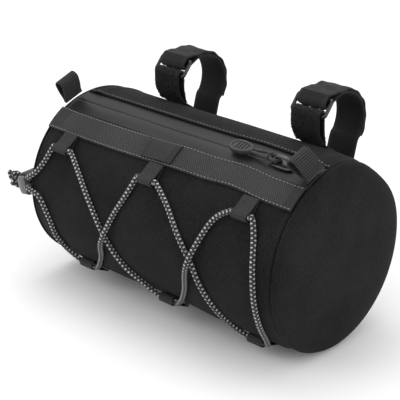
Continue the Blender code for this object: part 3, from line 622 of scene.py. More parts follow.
cord_tree = KDTree(len(cord_path))
for i, point in enumerate(cord_path[:, :3]):
    cord_tree.insert(point, i)
cord_tree.balance()
resting = on_bag(grid_x, grid_angle, 0.0)
from_cord = np.array([cord_tree.find(p)[2] for p in resting.reshape(-1, 3)]).reshape(height.shape)
front_angle = grid_angle - 360
PUFF = 0.0016
puff = (PUFF * ramp_between(front_angle, -78, -44) * (1 - ramp_between(front_angle, 12, 30))
        * ramp_between(HALF_LENGTH - np.abs(grid_x), 0.006, 0.016))
height = height + puff * (0.42 + 0.58 * (1 - np.exp(-(from_cord / 0.0075) ** 2)))
shell_points = on_bag(grid_x, grid_angle, height)
shell = add_piece("fabric_shell", grid_mesh("fabric_shell", shell_points, shell_x,
                                            np.radians(grid_angle) * BAG_RADIUS), SHELL_CLOTH)
thicken(shell, FABRIC, -1)
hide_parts("main_panel")
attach(shell, "root")

END_RISE = 0.0056
END_GRID = 72


def end_panel(side, name):
    """A round panel on a square grid, so that the cloth has no pole."""
    square = np.linspace(-1, 1, END_GRID + 1)
    square = np.sign(square) * (1 - (1 - np.abs(square)) ** 1.15)
    a, b = np.meshgrid(square, square, indexing="ij")
    y = a * np.sqrt(1 - b * b / 2)
    z = b * np.sqrt(1 - a * a / 2)
    reach = np.clip(np.sqrt(y * y + z * z), 0, 1)
    out = END_RISE * np.sqrt(np.clip(1 - reach ** 7, 0, 1))
    out += 0.0005 * np.sin(3.1 * y + 1.0) * np.cos(2.7 * z + 0.4) * (1 - reach ** 4)
    around = np.degrees(np.arctan2(z, -y))
    radius = BAG_RADIUS - 0.0002 - soft_places(side * HALF_LENGTH, around) * reach ** 3
    points = np.stack([side * (HALF_LENGTH + GAP + out), BAG_Y + radius * y, BAG_Z + radius * z], axis=-1)
    mesh = grid_mesh(name, points, points[:, :, 1], points[:, :, 2])
    if side > 0:
        return mesh
    return flip(mesh)


for side, label in ((-1, "left"), (1, "right")):
    panel = add_piece(f"{label}_padded_end", end_panel(side, f"{label}_padded_end"), SHELL_CLOTH)
    thicken(panel, FABRIC, -1)
    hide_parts(f"{label}_end_panel")
    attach(panel, "root")

# ---------------------------------------------------------------- foam, boards and lining
# Inside, a closed-cell foam sleeve and two plastic boards keep the bag round. A thin grey
# lining covers them, and a tape binds each end seam.
LINING_CLOTH = woven_finish("lining_cloth", (0.060, 0.060, 0.065), 0.0004, 0.70, 0.00004)


def moulded_finish(name, colour, roughness, grain, depth, mottle_amount=0.12, **sockets):
    """Moulded or foamed plastic with a fine grain."""
    finish = Finish(name, roughness, **sockets)
    tree = finish.tree
    surface = noise(tree, finish.place, grain, 3.0)
    mottle, = use_group(tree, MOTTLE, finish.place, mottle_amount)
    finish.paint(tuple(c * 0.9 for c in colour), tuple(c * 1.1 for c in colour), surface, mottle)
    finish.relief(surface, depth)
    finish.gloss(roughness - 0.08, roughness + 0.08, surface)
    return finish.material


def dress(node, material):
    """A CAD piece whose shape is right, in a better finish."""
    piece = frame["nodes"][node]
    piece.data.materials.clear()
    piece.data.materials.append(material)


FOAM = moulded_finish("foam", (0.09, 0.09, 0.09), 0.85, 1500, 0.00015)
BOARD = moulded_finish("stiffener_board", (0.05, 0.05, 0.05), 0.5, 700, 0.00003)
FOAM_THICKNESS = 0.0030
LINING_THICKNESS = 0.0005
inside_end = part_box("foam_liner")[1][0]
sleeve_x = np.linspace(-inside_end, inside_end, 60)
sleeve_angle = np.linspace(SHELL_ANGLES[0] + 3, SHELL_ANGLES[1] - 3, 120)


def sleeve(name, node, depth, thickness, material):
    """A soft tube inside the shell, sunk where the shell is."""
    places = on_bag(sleeve_x[:, None], sleeve_angle[None, :],
                    -depth - soft_places(sleeve_x[:, None], sleeve_angle[None, :]))
    piece = add_piece(name, grid_mesh(name, places, sleeve_x, np.radians(sleeve_angle) * BAG_RADIUS),
            material)
    thicken(piece, thickness, -1)
    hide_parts(node)
    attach(piece, "root")
    return piece


def sunk_disc(name, node, material):
    """A round CAD piece, its rim sunk where the shell is."""
    source = frame["nodes"][node]
    mesh = source.data.copy()
    mesh.transform(source.matrix_world)
    for vertex in mesh.vertices:
        y, z = vertex.co.y - BAG_Y, vertex.co.z - BAG_Z
        reach = np.hypot(y, z) / BAG_RADIUS
        sunk = soft_places(vertex.co.x, np.degrees(np.arctan2(z, -y))) / BAG_RADIUS
        shrink = 1 - sunk * reach ** 2
        vertex.co.y, vertex.co.z = BAG_Y + y * shrink, BAG_Z + z * shrink
    piece = add_piece(name, mesh, material)
    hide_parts(node)
    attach(piece, "root")


foam_depth = FABRIC + GAP
foam = sleeve("foam_sleeve", "foam_liner", foam_depth, FOAM_THICKNESS, FOAM)
lining_depth = foam_depth + FOAM_THICKNESS + GAP
sleeve("lining_sleeve", "lining_tube", lining_depth, LINING_THICKNESS, LINING_CLOTH)
for label in ("left", "right"):
    sunk_disc(f"{label}_stiff_board", f"{label}_end_board", BOARD)
    sunk_disc(f"{label}_lining_disc", f"{label}_end_lining", LINING_CLOTH)
    sunk_disc(f"{label}_binding_tape", f"{label}_seam_binding", LINING_CLOTH)

# ---------------------------------------------------------------- zip
# A reversed coil zip on water-resistant tape: satin film outside, two nylon coils inside,
# a metal stop at each end, and a black enamelled slider with a corded puller.
ZIP_LINE_ANGLE = 71.8
TAPE = 0.0008
TAPE_LIPS = 0.0002
SLIDER_X = 0.0785


def build_film(tree, across, line, place):
    from_line = maths(tree, "ABSOLUTE", maths(tree, "SUBTRACT", across, line))
    seam = maths(tree, "SUBTRACT", 1.0, ramp(tree, from_line, 0.0002, 0.0007))
    fine_lines = maths(tree, "SINE", maths(tree, "MULTIPLY", from_line, 2 * pi / 0.0011))
    near = maths(tree, "SUBTRACT", 1.0, ramp(tree, from_line, 0.0020, 0.0060))
    lines = maths(tree, "MULTIPLY", maths(tree, "MULTIPLY_ADD", fine_lines, 0.5, 0.5), near)
    ripple = noise(tree, place, 90.0, 2.0)
    height = maths(tree, "ADD", maths(tree, "MULTIPLY", lines, 0.25), maths(tree, "MULTIPLY", ripple, 1.2))
    return [seam, lines, height]


FILM = shader_group("laminated_film", [("Across", "NodeSocketFloat"), ("Line", "NodeSocketFloat"),
                                       ("Place", "NodeSocketVector")], ["Seam", "Lines", "Height"],
                                               build_film)
film = Finish("zip_film", 0.42, Specular_IOR_Level=0.28)
seam, lines, film_height = use_group(film.tree, FILM, film.across, radians(ZIP_LINE_ANGLE) * BAG_RADIUS,
        film.place)
film_shade, = use_group(film.tree, MOTTLE, film.place, 0.06)
# Painted shade: the film is darkened along the line where the two tapes meet.
film_shade = maths(film.tree, "MULTIPLY", film_shade, maths(film.tree, "MULTIPLY_ADD", seam, -0.35, 1.0))
film.paint((0.0085, 0.0085, 0.0090), (0.0125, 0.0125, 0.0130), lines, film_shade)
film.relief(film_height, 0.00014)
film.gloss(0.46, 0.36, lines)


def zip_tape(name, low, high):
    """One tape; its inner edge curls down a little to its coil."""
    x = np.linspace(-HALF_LENGTH + GAP, HALF_LENGTH - GAP, 100)
    angle = np.linspace(low, high, 15)
    from_line = np.radians(np.abs(angle - ZIP_LINE_ANGLE)) * BAG_RADIUS
    height = -GAP - TAPE / 2 + 0.00015 * ramp_between(from_line, 0.0,
            0.0025) * (1 - ramp_between(from_line, 0.005, 0.009))
    height = height[None, :] + 0.00022 * np.sin(x * 75 + 0.4)[:,
            None] * np.sin((angle - low) / (high - low) * pi)[None, :]
    points = on_bag(x[:, None], angle[None, :], height)
    piece = add_piece(name, grid_mesh(name, points, x, np.radians(angle) * BAG_RADIUS), film.material)
    thicken(piece, TAPE, 0)
    return piece


half_lips = np.degrees(TAPE_LIPS / 2 / BAG_RADIUS)
for name, node, low, high in (("upper_zip_tape", "zip_tape_upper", ZIP_LINE_ANGLE + half_lips, 84.5),
                              ("lower_zip_tape", "zip_tape_lower", 60.6, ZIP_LINE_ANGLE - half_lips)):
    piece = zip_tape(name, low, high)
    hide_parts(node)
    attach(piece, "root")


def row_tree():
    """Small rounded pieces in rows: stitches, or the turns of a zip's coil."""
    tree = bpy.data.node_groups.new("row_of_pieces", "GeometryNodeTree")
    tree.interface.new_socket("Geometry", in_out="INPUT", socket_type="NodeSocketGeometry")
    for label in ("Spacing", "Length", "Width", "Depth"):
        tree.interface.new_socket(label, in_out="INPUT", socket_type="NodeSocketFloat")
    tree.interface.new_socket("Material", in_out="INPUT", socket_type="NodeSocketMaterial")
    tree.interface.new_socket("Geometry", in_out="OUTPUT", socket_type="NodeSocketGeometry")
    arriving = tree.nodes.new("NodeGroupInput")
    leaving = tree.nodes.new("NodeGroupOutput")
    lines = tree.nodes.new("GeometryNodeMeshToCurve")
    spaced = tree.nodes.new("GeometryNodeResampleCurve")
    spaced.mode = "LENGTH"
    bead = tree.nodes.new("GeometryNodeMeshUVSphere")
    bead.inputs["Segments"].default_value = 8
    bead.inputs["Rings"].default_value = 6
    bead.inputs["Radius"].default_value = 0.5
    size = tree.nodes.new("ShaderNodeCombineXYZ")
    tangent = tree.nodes.new("GeometryNodeInputTangent")
    aim = tree.nodes.new("FunctionNodeAlignRotationToVector")
    aim.axis = "X"
    copies = tree.nodes.new("GeometryNodeInstanceOnPoints")
    real = tree.nodes.new("GeometryNodeRealizeInstances")
    smooth = tree.nodes.new("GeometryNodeSetShadeSmooth")
    painted = tree.nodes.new("GeometryNodeSetMaterial")
    link = tree.links.new
    link(arriving.outputs["Geometry"], lines.inputs["Mesh"])
    link(lines.outputs["Curve"], spaced.inputs["Curve"])
    link(arriving.outputs["Spacing"], spaced.inputs["Length"])
    link(arriving.outputs["Length"], size.inputs["X"])
    link(arriving.outputs["Width"], size.inputs["Y"])
    link(arriving.outputs["Depth"], size.inputs["Z"])
    link(spaced.outputs["Curve"], copies.inputs["Points"])
    link(bead.outputs["Mesh"], copies.inputs["Instance"])
    link(tangent.outputs["Tangent"], aim.inputs["Vector"])
    link(aim.outputs["Rotation"], copies.inputs["Rotation"])
    link(size.outputs["Vector"], copies.inputs["Scale"])
    link(copies.outputs["Instances"], real.inputs["Geometry"])
    link(real.outputs["Geometry"], smooth.inputs["Geometry"])
    link(smooth.outputs["Geometry"], painted.inputs["Geometry"])
    link(arriving.outputs["Material"], painted.inputs["Material"])
    link(painted.outputs["Geometry"], leaving.inputs["Geometry"])
    return tree


ROWS = row_tree()


def rows_along(name, paths, spacing, size, material):
    """Runs the row tree along some paths and keeps the result as a plain mesh."""
    points = [point for path in paths for point in path.tolist()]
    edges, start = [], 0
    for path in paths:
        edges += [(start + i, start + i + 1) for i in range(len(path) - 1)]
        start += len(path)
    mesh = bpy.data.meshes.new(name)
    mesh.from_pydata(points, edges, [])
    piece = add_piece(name, mesh, material)
    step = piece.modifiers.new("rows", "NODES")
    step.node_group = ROWS
    values = dict(zip(("Spacing", "Length", "Width", "Depth", "Material"), (spacing, *size, material)))
    for item in ROWS.interface.items_tree:
        if item.in_out == "INPUT" and item.name in values:
            step[item.identifier] = values[item.name]
    settle_mesh(piece)
    return piece


COIL_PITCH = 0.0014
NYLON = moulded_finish("nylon_coil", (0.020, 0.020, 0.020), 0.40, 900, 0.00002)
for label, sign in (("upper", 1), ("lower", -1)):
    low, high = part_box(f"zip_chain_{label}")
    angle = ZIP_LINE_ANGLE + sign * np.degrees(0.0019 / BAG_RADIUS)
    x = np.arange(low[0] + (0.5 if sign > 0 else 1.0) * COIL_PITCH, high[0] - COIL_PITCH / 2, COIL_PITCH)
    coil_line = on_bag(x, angle, -0.0023)
    coil = rows_along(f"zip_coil_{label}", [coil_line], COIL_PITCH, (0.0009, 0.0026, 0.0015), NYLON)
    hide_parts(f"zip_chain_{label}")
    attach(coil, "root")


def enamel_finish(name, colour, roughness, worn):
    """Black enamel on metal, rubbed to bare metal where worn says so."""
    finish = Finish(name, roughness, Metallic=0.0, Specular_IOR_Level=0.6)
    tree = finish.tree
    edges = tree.nodes.new("ShaderNodeNewGeometry").outputs["Pointiness"]
    rubbed = maths(tree, "MULTIPLY", ramp(tree, edges, 0.62, 0.78),
            ramp(tree, noise(tree, finish.place, 700), 0.35, 0.6))
    mottle, = use_group(tree, MOTTLE, finish.place, 0.15)
    finish.paint(colour, worn, rubbed, mottle)
    finish.relief(noise(tree, finish.place, 1600), 0.00001)
    tree.links.new(maths(tree, "MULTIPLY_ADD", rubbed, 0.7, 0.15), finish.shader.inputs["Metallic"])
    return finish.material


ENAMEL = enamel_finish("black_enamel", (0.012, 0.012, 0.013), 0.28, (0.30, 0.30, 0.29))
dress("zip_stop_left", ENAMEL)
dress("zip_stop_right", ENAMEL)


def bag_place(x, angle, height=0.0):
    """Axes on the bag: local X along it, local Y round it towards the top, local Z outwards."""
    turn = radians(angle)
    place = Matrix(((1, 0, 0), (0, sin(turn), cos(turn)), (0, -cos(turn), sin(turn)))).transposed().to_4x4()
    place.translation = on_bag(x, angle, height)
    return place


def rounded_outline(length, width, power, count=56, taper=0.0):
    """An oval with flat sides; taper narrows its +X end."""
    turn = np.linspace(0, 2 * pi, count, endpoint=False)
    x = np.sign(np.cos(turn)) * np.abs(np.cos(turn)) ** (2 / power)
    y = np.sign(np.sin(turn)) * np.abs(np.sin(turn)) ** (2 / power)
    return np.column_stack([x * length / 2, y * (1 - taper * (x + 1) / 2) * width / 2])


def loft(name, place, outline, levels):
    """Stacks an outline at levels of (height, inset), closed with a rounded face at each end."""
    centre = outline.mean(axis=0)
    half = np.abs(outline - centre).max(axis=0)
    rows = []
    for level, inset in levels:
        scale = np.maximum(0.02, 1 - inset / half)
        rows.append(np.column_stack([centre + (outline - centre) * scale, np.full(len(outline), level)]))
    points = np.array(rows)
    flat = points.reshape(-1, 3) @ np.array(place.to_3x3()).T + np.array(place.translation)
    height = np.array([level for level, inset in levels])
    around = np.linspace(0, 1, len(outline) + 1) * np.abs(outline).sum() / 20
    return close_up(grid_mesh(name, flat.reshape(points.shape), height, around, loop=True))


def pillow(low, high, edge, dish=0.0):
    """Levels of a block with rounded rims, dished or domed at its top."""
    turns = [radians(18 * i) for i in range(6)]
    down = [(low + edge * (1 - sin(t)), edge * (1 - cos(t))) for t in reversed(turns)]
    up = [(high - edge * (1 - sin(t)), edge * (1 - cos(t))) for t in turns]
    crown = [(high + dish * share, edge + (1 - (1 - share) ** 0.5) * 0.006) for share in (0.3, 0.6,
            0.85, 1.0)]
    return down + up + crown


def band_section(width, thickness, count, curl=0.0):
    """Cross-section of webbing: offsets across and above, and the distance round it."""
    half = width / 2 - thickness / 2
    flat = np.linspace(-half, half, count)
    side = np.radians(np.linspace(60, -60, 5))
    across = np.concatenate([flat, half + thickness / 2 * np.cos(side), flat[::-1],
            -half - thickness / 2 * np.cos(side)])
    above = np.concatenate([flat * 0 + thickness / 2, thickness / 2 * np.sin(side),
            flat * 0 - thickness / 2,
                            -thickness / 2 * np.sin(side)])
    above = above - curl * across ** 2 / 2
    round_it = np.concatenate([across, [across[0]]])
    round_it[count:count + 5] = half + thickness * np.linspace(0.1, 0.9, 5)
    round_it[count + 5:2 * count + 5] = flat[::-1] + 2 * width
    return across, above, round_it


def strap_mesh(name, path, across, width, thickness, count=12, curl=0.0, ripple=None):
    """Webbing along a path; ripple moves it above or below by distance along and across."""
    path = np.asarray(path)
    tangents = np.gradient(path, axis=0)
    tangents /= np.linalg.norm(tangents, axis=1)[:, None]
    side = np.broadcast_to(np.array(across, dtype=float), path.shape)
    normal = np.cross(tangents, side)
    normal /= np.linalg.norm(normal, axis=1)[:, None]
    a, b, round_it = band_section(width, thickness, count, curl)
    run = distance_along(path)
    above = np.broadcast_to(b, (len(path), len(a)))
    if ripple is not None:
        above = above + ripple(run[:, None], a[None, :])
    points = path[:, None] + side[:, None] * a[None, :, None] + normal[:, None] * above[..., None]
    return close_up(grid_mesh(name, points, run, round_it, loop=True))


SLIDER_PLATE = 0.0012
SLIDER_TOP = 2 * GAP
ARCH_HALF = 0.0061
ARCH_POST = 0.0016
ARCH_WINDOW = 0.0034
slider_place = bag_place(SLIDER_X, ZIP_LINE_ANGLE)
slider_outline = rounded_outline(0.0170, 0.0094, 3.4, taper=-0.12)
plate_top = SLIDER_TOP + SLIDER_PLATE
arch_top = plate_top + ARCH_WINDOW + ARCH_POST / 2
arch_post = ARCH_HALF - ARCH_POST / 2
arch_route = [(-arch_post, 0, plate_top - 0.0005), (-arch_post, 0, plate_top + 0.0012),
        (-arch_post * 0.82, 0, arch_top - 0.0006),
              (-arch_post * 0.35, 0, arch_top), (arch_post * 0.35, 0, arch_top - 0.0002),
                      (arch_post * 0.85, 0, arch_top - 0.0012),
              (arch_post, 0, plate_top + 0.0010), (arch_post, 0, plate_top - 0.0005)]
arch_path = smooth_path([slider_place @ Vector(p) for p in arch_route], 0.0004)
slider = add_piece("slider_casting", join_meshes("slider_casting", [
    loft("upper_plate", slider_place, slider_outline, pillow(SLIDER_TOP, plate_top, 0.00045, 0.0002)),
    loft("lower_plate", slider_place, slider_outline, pillow(-0.0046, -0.0034, 0.0004)),
    loft("neck", slider_place @ Matrix.Translation((0.001, 0, 0)), rounded_outline(0.008, 0.0007, 3.0),
         [(-0.0036, 0), (SLIDER_TOP + 0.0003, 0)]),
    strap_mesh("arch", arch_path, slider_place.to_3x3() @ Vector((0, 1, 0)), 0.0030, ARCH_POST, 4),
]), ENAMEL)
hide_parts("zip_slider")
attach(slider, "zip_slider")

# ---------------------------------------------------------------- puller
# Two strands of thin braided cord, looped round the slider's arch, end in a moulded rubber
# grip with a raised rim and finger ribs.
PULL_LENGTH = 0.0200
PULL_BEND = 0.0022
GRIP_LENGTH, GRIP_WIDTH, GRIP_THICKNESS = 0.0175, 0.0120, 0.0032
pull_height = plate_top + ARCH_WINDOW / 2
post_x = -arch_post
grip_x = post_x - PULL_LENGTH + PULL_BEND - GAP
PULL_SLEEVE = cord_finish("puller_sleeve", (0.008, 0.008, 0.008), (0.030, 0.030, 0.030), 2.0)
pull_route = [(grip_x - 0.0015, 0.0011, 0), (grip_x + 0.003, 0.0013, 0.0002),
        (post_x - 0.0085, 0.0021, 0.0004),
              (post_x - 0.0045, 0.0016, 0.0002), (post_x - 0.0012, 0.0024, 0), (post_x + 0.0014, 0.0016, 0),
              (post_x + PULL_BEND, 0, 0)]
pull_route += [(x, -y, z) for x, y, z in reversed(pull_route[:-1])]
pull_path = smooth_path([slider_place @ Vector((x, y, pull_height + z)) for x, y, z in pull_route], 0.0003)
collar = [(post_x - 0.0052 + 0.0004 * cos(t), 0.0025 * cos(t), pull_height + 0.0017 * sin(t))
          for t in np.linspace(0, 2 * pi, 21)]
collar_path = smooth_path([slider_place @ Vector(p) for p in collar], 0.0003)
pull_cord = add_piece("puller_cord", join_meshes("puller_cord", [
    braided_tube("strands", pull_path, 0.00098, 0.0012, sides=12),
    braided_tube("collar", collar_path, 0.00080, 0.0012, sides=12)]), PULL_SLEEVE)
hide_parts("pull_cord")
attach(pull_cord, "zip_puller")

GRIP_RUBBER = moulded_finish("grip_rubber", (0.022, 0.022, 0.023), 0.48, 1300, 0.00003,
        Specular_IOR_Level=0.4)
grip_place = slider_place @ Matrix.Translation((grip_x - GRIP_LENGTH / 2, 0, pull_height))
grip_outline = rounded_outline(GRIP_LENGTH, GRIP_WIDTH, 2.2, taper=0.34)
half_grip = GRIP_THICKNESS / 2
rim = [(half_grip, 0.0007), (half_grip, 0.0015), (half_grip - 0.0006, 0.0019), (half_grip - 0.0006, 0.0030),
       (half_grip - 0.0006, 0.0058)]
grip_levels = pillow(-half_grip, half_grip, 0.0007)[:12] + rim
grip_ribs = [strap_mesh("rib", smooth_path([grip_place @ Vector((x, y, half_grip - 0.0004))
                                            for y in (-reach, 0, reach)], 0.0004),
                        grip_place.to_3x3() @ Vector((1, 0, 0)), 0.0010, 0.0008, 3)
             for x, reach in ((-0.0036, 0.0028), (-0.0012, 0.0030), (0.0012, 0.0027), (0.0036, 0.0021))]
grip = add_piece("puller_grip", join_meshes("puller_grip", [
    loft("grip", grip_place, grip_outline, grip_levels), *grip_ribs]), GRIP_RUBBER)
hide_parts("pull_grip")
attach(grip, "zip_puller")

# ---------------------------------------------------------------- front webbing and its patch
# A strip of webbing, 17 mm, is sewn along both edges below the zip. Its middle is an open
# dotted weave and its ends are ribbed. A soft rubber patch is bonded to it, left plain.
BAND_WIDTH = 0.0170
BAND_THICKNESS = 0.0014
BAND_TOP_ANGLE = 60.9
RIB_PITCH = 0.0013
DOT_PITCH = 0.0017


def build_ribs(tree, along, across, pitch):
    rib = maths(tree, "ABSOLUTE", maths(tree, "SINE",
            maths(tree, "MULTIPLY", maths(tree, "DIVIDE", along, pitch), pi)))
    thread = maths(tree, "ABSOLUTE", maths(tree, "SINE", maths(tree, "MULTIPLY", across, pi / 0.0006)))
    return [maths(tree, "MULTIPLY_ADD", thread, 0.25, rib)]


RIBS = shader_group("webbing_ribs", [("Along", "NodeSocketFloat"), ("Across", "NodeSocketFloat"),
                                     ("Pitch", "NodeSocketFloat")], ["Height"], build_ribs)


def build_dots(tree, along, across):
    a = maths(tree, "COSINE", maths(tree, "MULTIPLY", along, 2 * pi / DOT_PITCH))
    b = maths(tree, "COSINE", maths(tree, "MULTIPLY", across, 2 * pi / DOT_PITCH))
    both = maths(tree, "MULTIPLY", a, b)
    return [ramp(tree, both, 0.05, 0.50), maths(tree, "SUBTRACT", 1.0,
            maths(tree, "MULTIPLY_ADD", both, 0.5, 0.5))]


DOTS = shader_group("dotted_weave", [("Along", "NodeSocketFloat"), ("Across", "NodeSocketFloat")],
                    ["Dots", "Height"], build_dots)


def webbing_finish(name, colour, pitch=RIB_PITCH):
    """Ribbed polyester webbing, painted pale on its rib crests as a highlight and dark in its grooves as
    shade.
    """
    finish = Finish(name, 0.70, Sheen_Weight=0.03, Specular_IOR_Level=0.25)
    tree = finish.tree
    height, = use_group(tree, RIBS, finish.along, finish.across, pitch)
    mottle, = use_group(tree, MOTTLE, finish.place, 0.2)
    # Painted light: the rib crests are painted pale as a highlight and the grooves dark as shade.
    finish.paint(tuple(c * 0.15 for c in colour), tuple(c * 1.6 for c in colour), height, mottle)
    finish.relief(height, 0.00028)
    finish.gloss(0.85, 0.58, height)
    return finish.material


WEBBING = webbing_finish("ribbed_webbing", (0.013, 0.013, 0.013))
band_finish = Finish("dotted_webbing", 0.62, Sheen_Weight=0.02, Specular_IOR_Level=0.25)
tree = band_finish.tree
rib_height, = use_group(tree, RIBS, band_finish.along, band_finish.across, 0.0011)
dots, dot_height = use_group(tree, DOTS, band_finish.along, band_finish.across)
RIBBED_LEFT, RIBBED_RIGHT = 0.0105, 2 * HALF_LENGTH - 0.0075
ribbed = maths(tree, "ADD", maths(tree, "SUBTRACT", 1.0,
        ramp(tree, band_finish.along, RIBBED_LEFT, RIBBED_LEFT + 0.0008)),
               ramp(tree, band_finish.along, RIBBED_RIGHT, RIBBED_RIGHT + 0.0008))
edge = ramp(tree, maths(tree, "ABSOLUTE", band_finish.across), BAND_WIDTH / 2 - 0.0020,
        BAND_WIDTH / 2 - 0.0014)
plain = maths(tree, "MAXIMUM", ribbed, edge)
speckle = maths(tree, "MULTIPLY", maths(tree, "SUBTRACT", 1.0, dots), maths(tree, "SUBTRACT", 1.0, plain))
# Painted highlight: the rib crests on the ribbed ends and the plain edges are painted lighter.
painted_rib_highlight = maths(tree, "MULTIPLY", maths(tree, "MULTIPLY", rib_height, 0.65), plain)
band_shade, = use_group(tree, MOTTLE, band_finish.place, 0.25)
band_finish.paint((0.0015, 0.0015, 0.0015), (0.030, 0.030, 0.0295),
        maths(tree, "ADD", speckle, painted_rib_highlight), band_shade)
band_relief = maths(tree, "ADD", maths(tree, "MULTIPLY", rib_height, plain),
                    maths(tree, "MULTIPLY", dot_height, maths(tree, "SUBTRACT", 1.0, plain)))
band_finish.relief(band_relief, 0.00025)

band_middle = BAND_TOP_ANGLE - np.degrees(BAND_WIDTH / 2 / BAG_RADIUS)
band_x = np.linspace(-HALF_LENGTH + GAP, HALF_LENGTH - GAP, 261)


def band_place(x, across=0.0):
    """Where the webbing lies: it wanders a little, and lifts here and there."""
    wander = 0.9 * np.sin(x * 29 + 0.5) * np.exp(-(x / 0.09) ** 2) + 1.6 * np.exp(-((x - 0.058) / 0.016) ** 2)
    lift = 0.0004 * np.sin(x * 47 + 1.0) + 0.0003 * np.sin(x * 113)
    angle = band_middle + wander + np.degrees(across / BAG_RADIUS)
    return angle, GAP + BAND_THICKNESS / 2 + np.maximum(lift, 0)


band_angle, band_height = band_place(band_x)
band_path = on_bag(band_x, band_angle, band_height)
turn = np.radians(band_angle)
band_across = np.column_stack([turn * 0, np.sin(turn), np.cos(turn)])
band = add_piece("front_webbing", strap_mesh("front_webbing", band_path, band_across, BAND_WIDTH,
        BAND_THICKNESS,
                                             16, curl=1 / BAG_RADIUS), band_finish.material)
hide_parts("webbing_band")
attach(band, "root")

PATCH_X, PATCH_LENGTH, PATCH_WIDTH, PATCH_THICKNESS = -0.0043, 0.0260, 0.0138, 0.0014
PATCH_RUBBER = moulded_finish("patch_rubber", (0.0115, 0.0115, 0.012), 0.50, 1200, 0.00004,
        Specular_IOR_Level=0.28)
patch_x = np.linspace(-0.5, 0.5, 97) * PATCH_LENGTH
patch_y = np.linspace(-0.5, 0.5, 29) * PATCH_WIDTH


def patch_height(x, y):
    """Rounded rim, a groove near each end, and a raised plain lozenge frame in the middle."""
    groove = sum(np.exp(-((x - place) / 0.00028) ** 2) for place in (-0.0108, 0.0092, 0.0108))
    frame_line = np.exp(-((np.abs(x) / 0.0042 + np.abs(y) / 0.0030 - 1) / 0.10) ** 2)
    edge_x = ramp_between(PATCH_LENGTH / 2 - np.abs(x), 0, 0.0006)
    edge_y = ramp_between(PATCH_WIDTH / 2 - np.abs(y), 0, 0.0006)
    return PATCH_THICKNESS * edge_x * edge_y - 0.0004 * groove + 0.00022 * frame_line


grid_a, grid_b = np.meshgrid(patch_x, patch_y, indexing="ij")
patch_angle, patch_base = band_place(grid_a + PATCH_X, grid_b)
patch_points = on_bag(grid_a + PATCH_X, patch_angle,
                      patch_base + BAND_THICKNESS / 2 + patch_height(grid_a, grid_b))
patch = add_piece("rubber_patch", grid_mesh("rubber_patch", patch_points, patch_x, patch_y), PATCH_RUBBER)
thicken(patch, 0.0005, -1)
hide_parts("label_patch")
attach(patch, "root")

# ---------------------------------------------------------------- webbing loops that hold the cord
# Six short pieces of narrow ribbed webbing, folded over the cord. The upper three are sewn
# in under the front webbing, the lower three to the shell underneath.
LOWER_LOOP_LENGTH = 0.0140
LOOP_FALL = 0.55


def loop_path(place, length):
    """Up from the stitched end, round the cord and back."""
    room = CORD_RADIUS + CORD_ROOM + LOOP_WEBBING / 2
    centre = GAP + LOOP_WEBBING + CORD_ROOM + CORD_RADIUS
    low = centre - room
    route = [(0, y, low - y * y / (2 * BAG_RADIUS)) for y in (length, length * 0.6, length * 0.3)]
    route += [(0, room * sin(t), centre - room * cos(t)) for t in (radians(-30 * i) for i in range(7))]
    end = low + LOOP_WEBBING + GAP
    for share in (0.3, 0.6, 1.0):
        y = length * share
        fall = (end - centre - room) * share ** LOOP_FALL
        route.append((0, y, centre + room + fall - y * y / (2 * BAG_RADIUS)))
    return smooth_path([place @ Vector(p) for p in route], 0.0006)


band_bottom = BAND_TOP_ANGLE - np.degrees(BAND_WIDTH / BAG_RADIUS)
upper_length = radians(band_bottom - UPPER_LOOP_ANGLE) * BAG_RADIUS + 0.0008
for i, x in enumerate(UPPER_LOOP_X):
    place = bag_place(x, UPPER_LOOP_ANGLE)
    loop = add_piece(f"upper_loop_{i + 1}", strap_mesh(f"upper_loop_{i + 1}",
            loop_path(place, upper_length),
                                                       (1, 0, 0), LOOP_WIDTH, LOOP_WEBBING), WEBBING)
    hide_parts(f"upper_cord_loop_{i + 1}")
    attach(loop, "root")
for i, (x, angle) in enumerate(LOWER_LOOPS):
    place = bag_place(x, angle) @ Matrix.Rotation(pi, 4, "Z")
    loop = add_piece(f"lower_loop_{i + 1}", strap_mesh(f"lower_loop_{i + 1}",
            loop_path(place, LOWER_LOOP_LENGTH),
                                                       (1, 0, 0), LOOP_WIDTH, LOOP_WEBBING), WEBBING)
    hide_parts(f"lower_cord_loop_{i + 1}")
    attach(loop, "root")

# ---------------------------------------------------------------- stitching
# Grey polyester lockstitch, five to the centimetre: one row along the zip's hem, one along
# each edge of the front webbing, and short rows that hold the lower loops.
STITCH_SPACING = 0.0027
STITCH = (0.0022, 0.00072, 0.00060)
THREAD_GREY = moulded_finish("grey_thread", (0.13, 0.13, 0.127), 0.60, 2500, 0.00003, 0.25)
THREAD_BLACK = moulded_finish("black_thread", (0.030, 0.030, 0.030), 0.60, 2500, 0.00003, 0.25)
hem_row_x = np.linspace(-HALF_LENGTH + 0.002, HALF_LENGTH - 0.002, 220)
hem_row_angle = hem_angle(hem_row_x) + np.degrees(HEM_WIDTH * 0.72 / BAG_RADIUS)
hem_row = on_bag(hem_row_x, hem_row_angle, shell_height(hem_row_x, hem_row_angle) + 0.0001)
grey_rows = [hem_row]
for across in (-BAND_WIDTH / 2 + 0.0013, BAND_WIDTH / 2 - 0.0013):
    row_angle, row_height = band_place(hem_row_x, across)
    grey_rows.append(on_bag(hem_row_x, row_angle, row_height + BAND_THICKNESS / 2))
topstitching = rows_along("topstitching", grey_rows, STITCH_SPACING, STITCH, THREAD_GREY)
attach(topstitching, "root")
tack_rows = []
for x, loop_angle in LOWER_LOOPS:
    for reach in (0.62, 0.92):
        angle = loop_angle - np.degrees(LOWER_LOOP_LENGTH * reach / BAG_RADIUS)
        height = 2 * LOOP_WEBBING + 2 * GAP + 0.0043 * (1 - reach ** LOOP_FALL)
        tack_rows.append(on_bag(np.linspace(x - 0.0045, x + 0.0045, 12), angle, height))
tacks = rows_along("loop_tacks", tack_rows, 0.0015, (0.0014, 0.0006, 0.0006), THREAD_BLACK)
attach(tacks, "root")

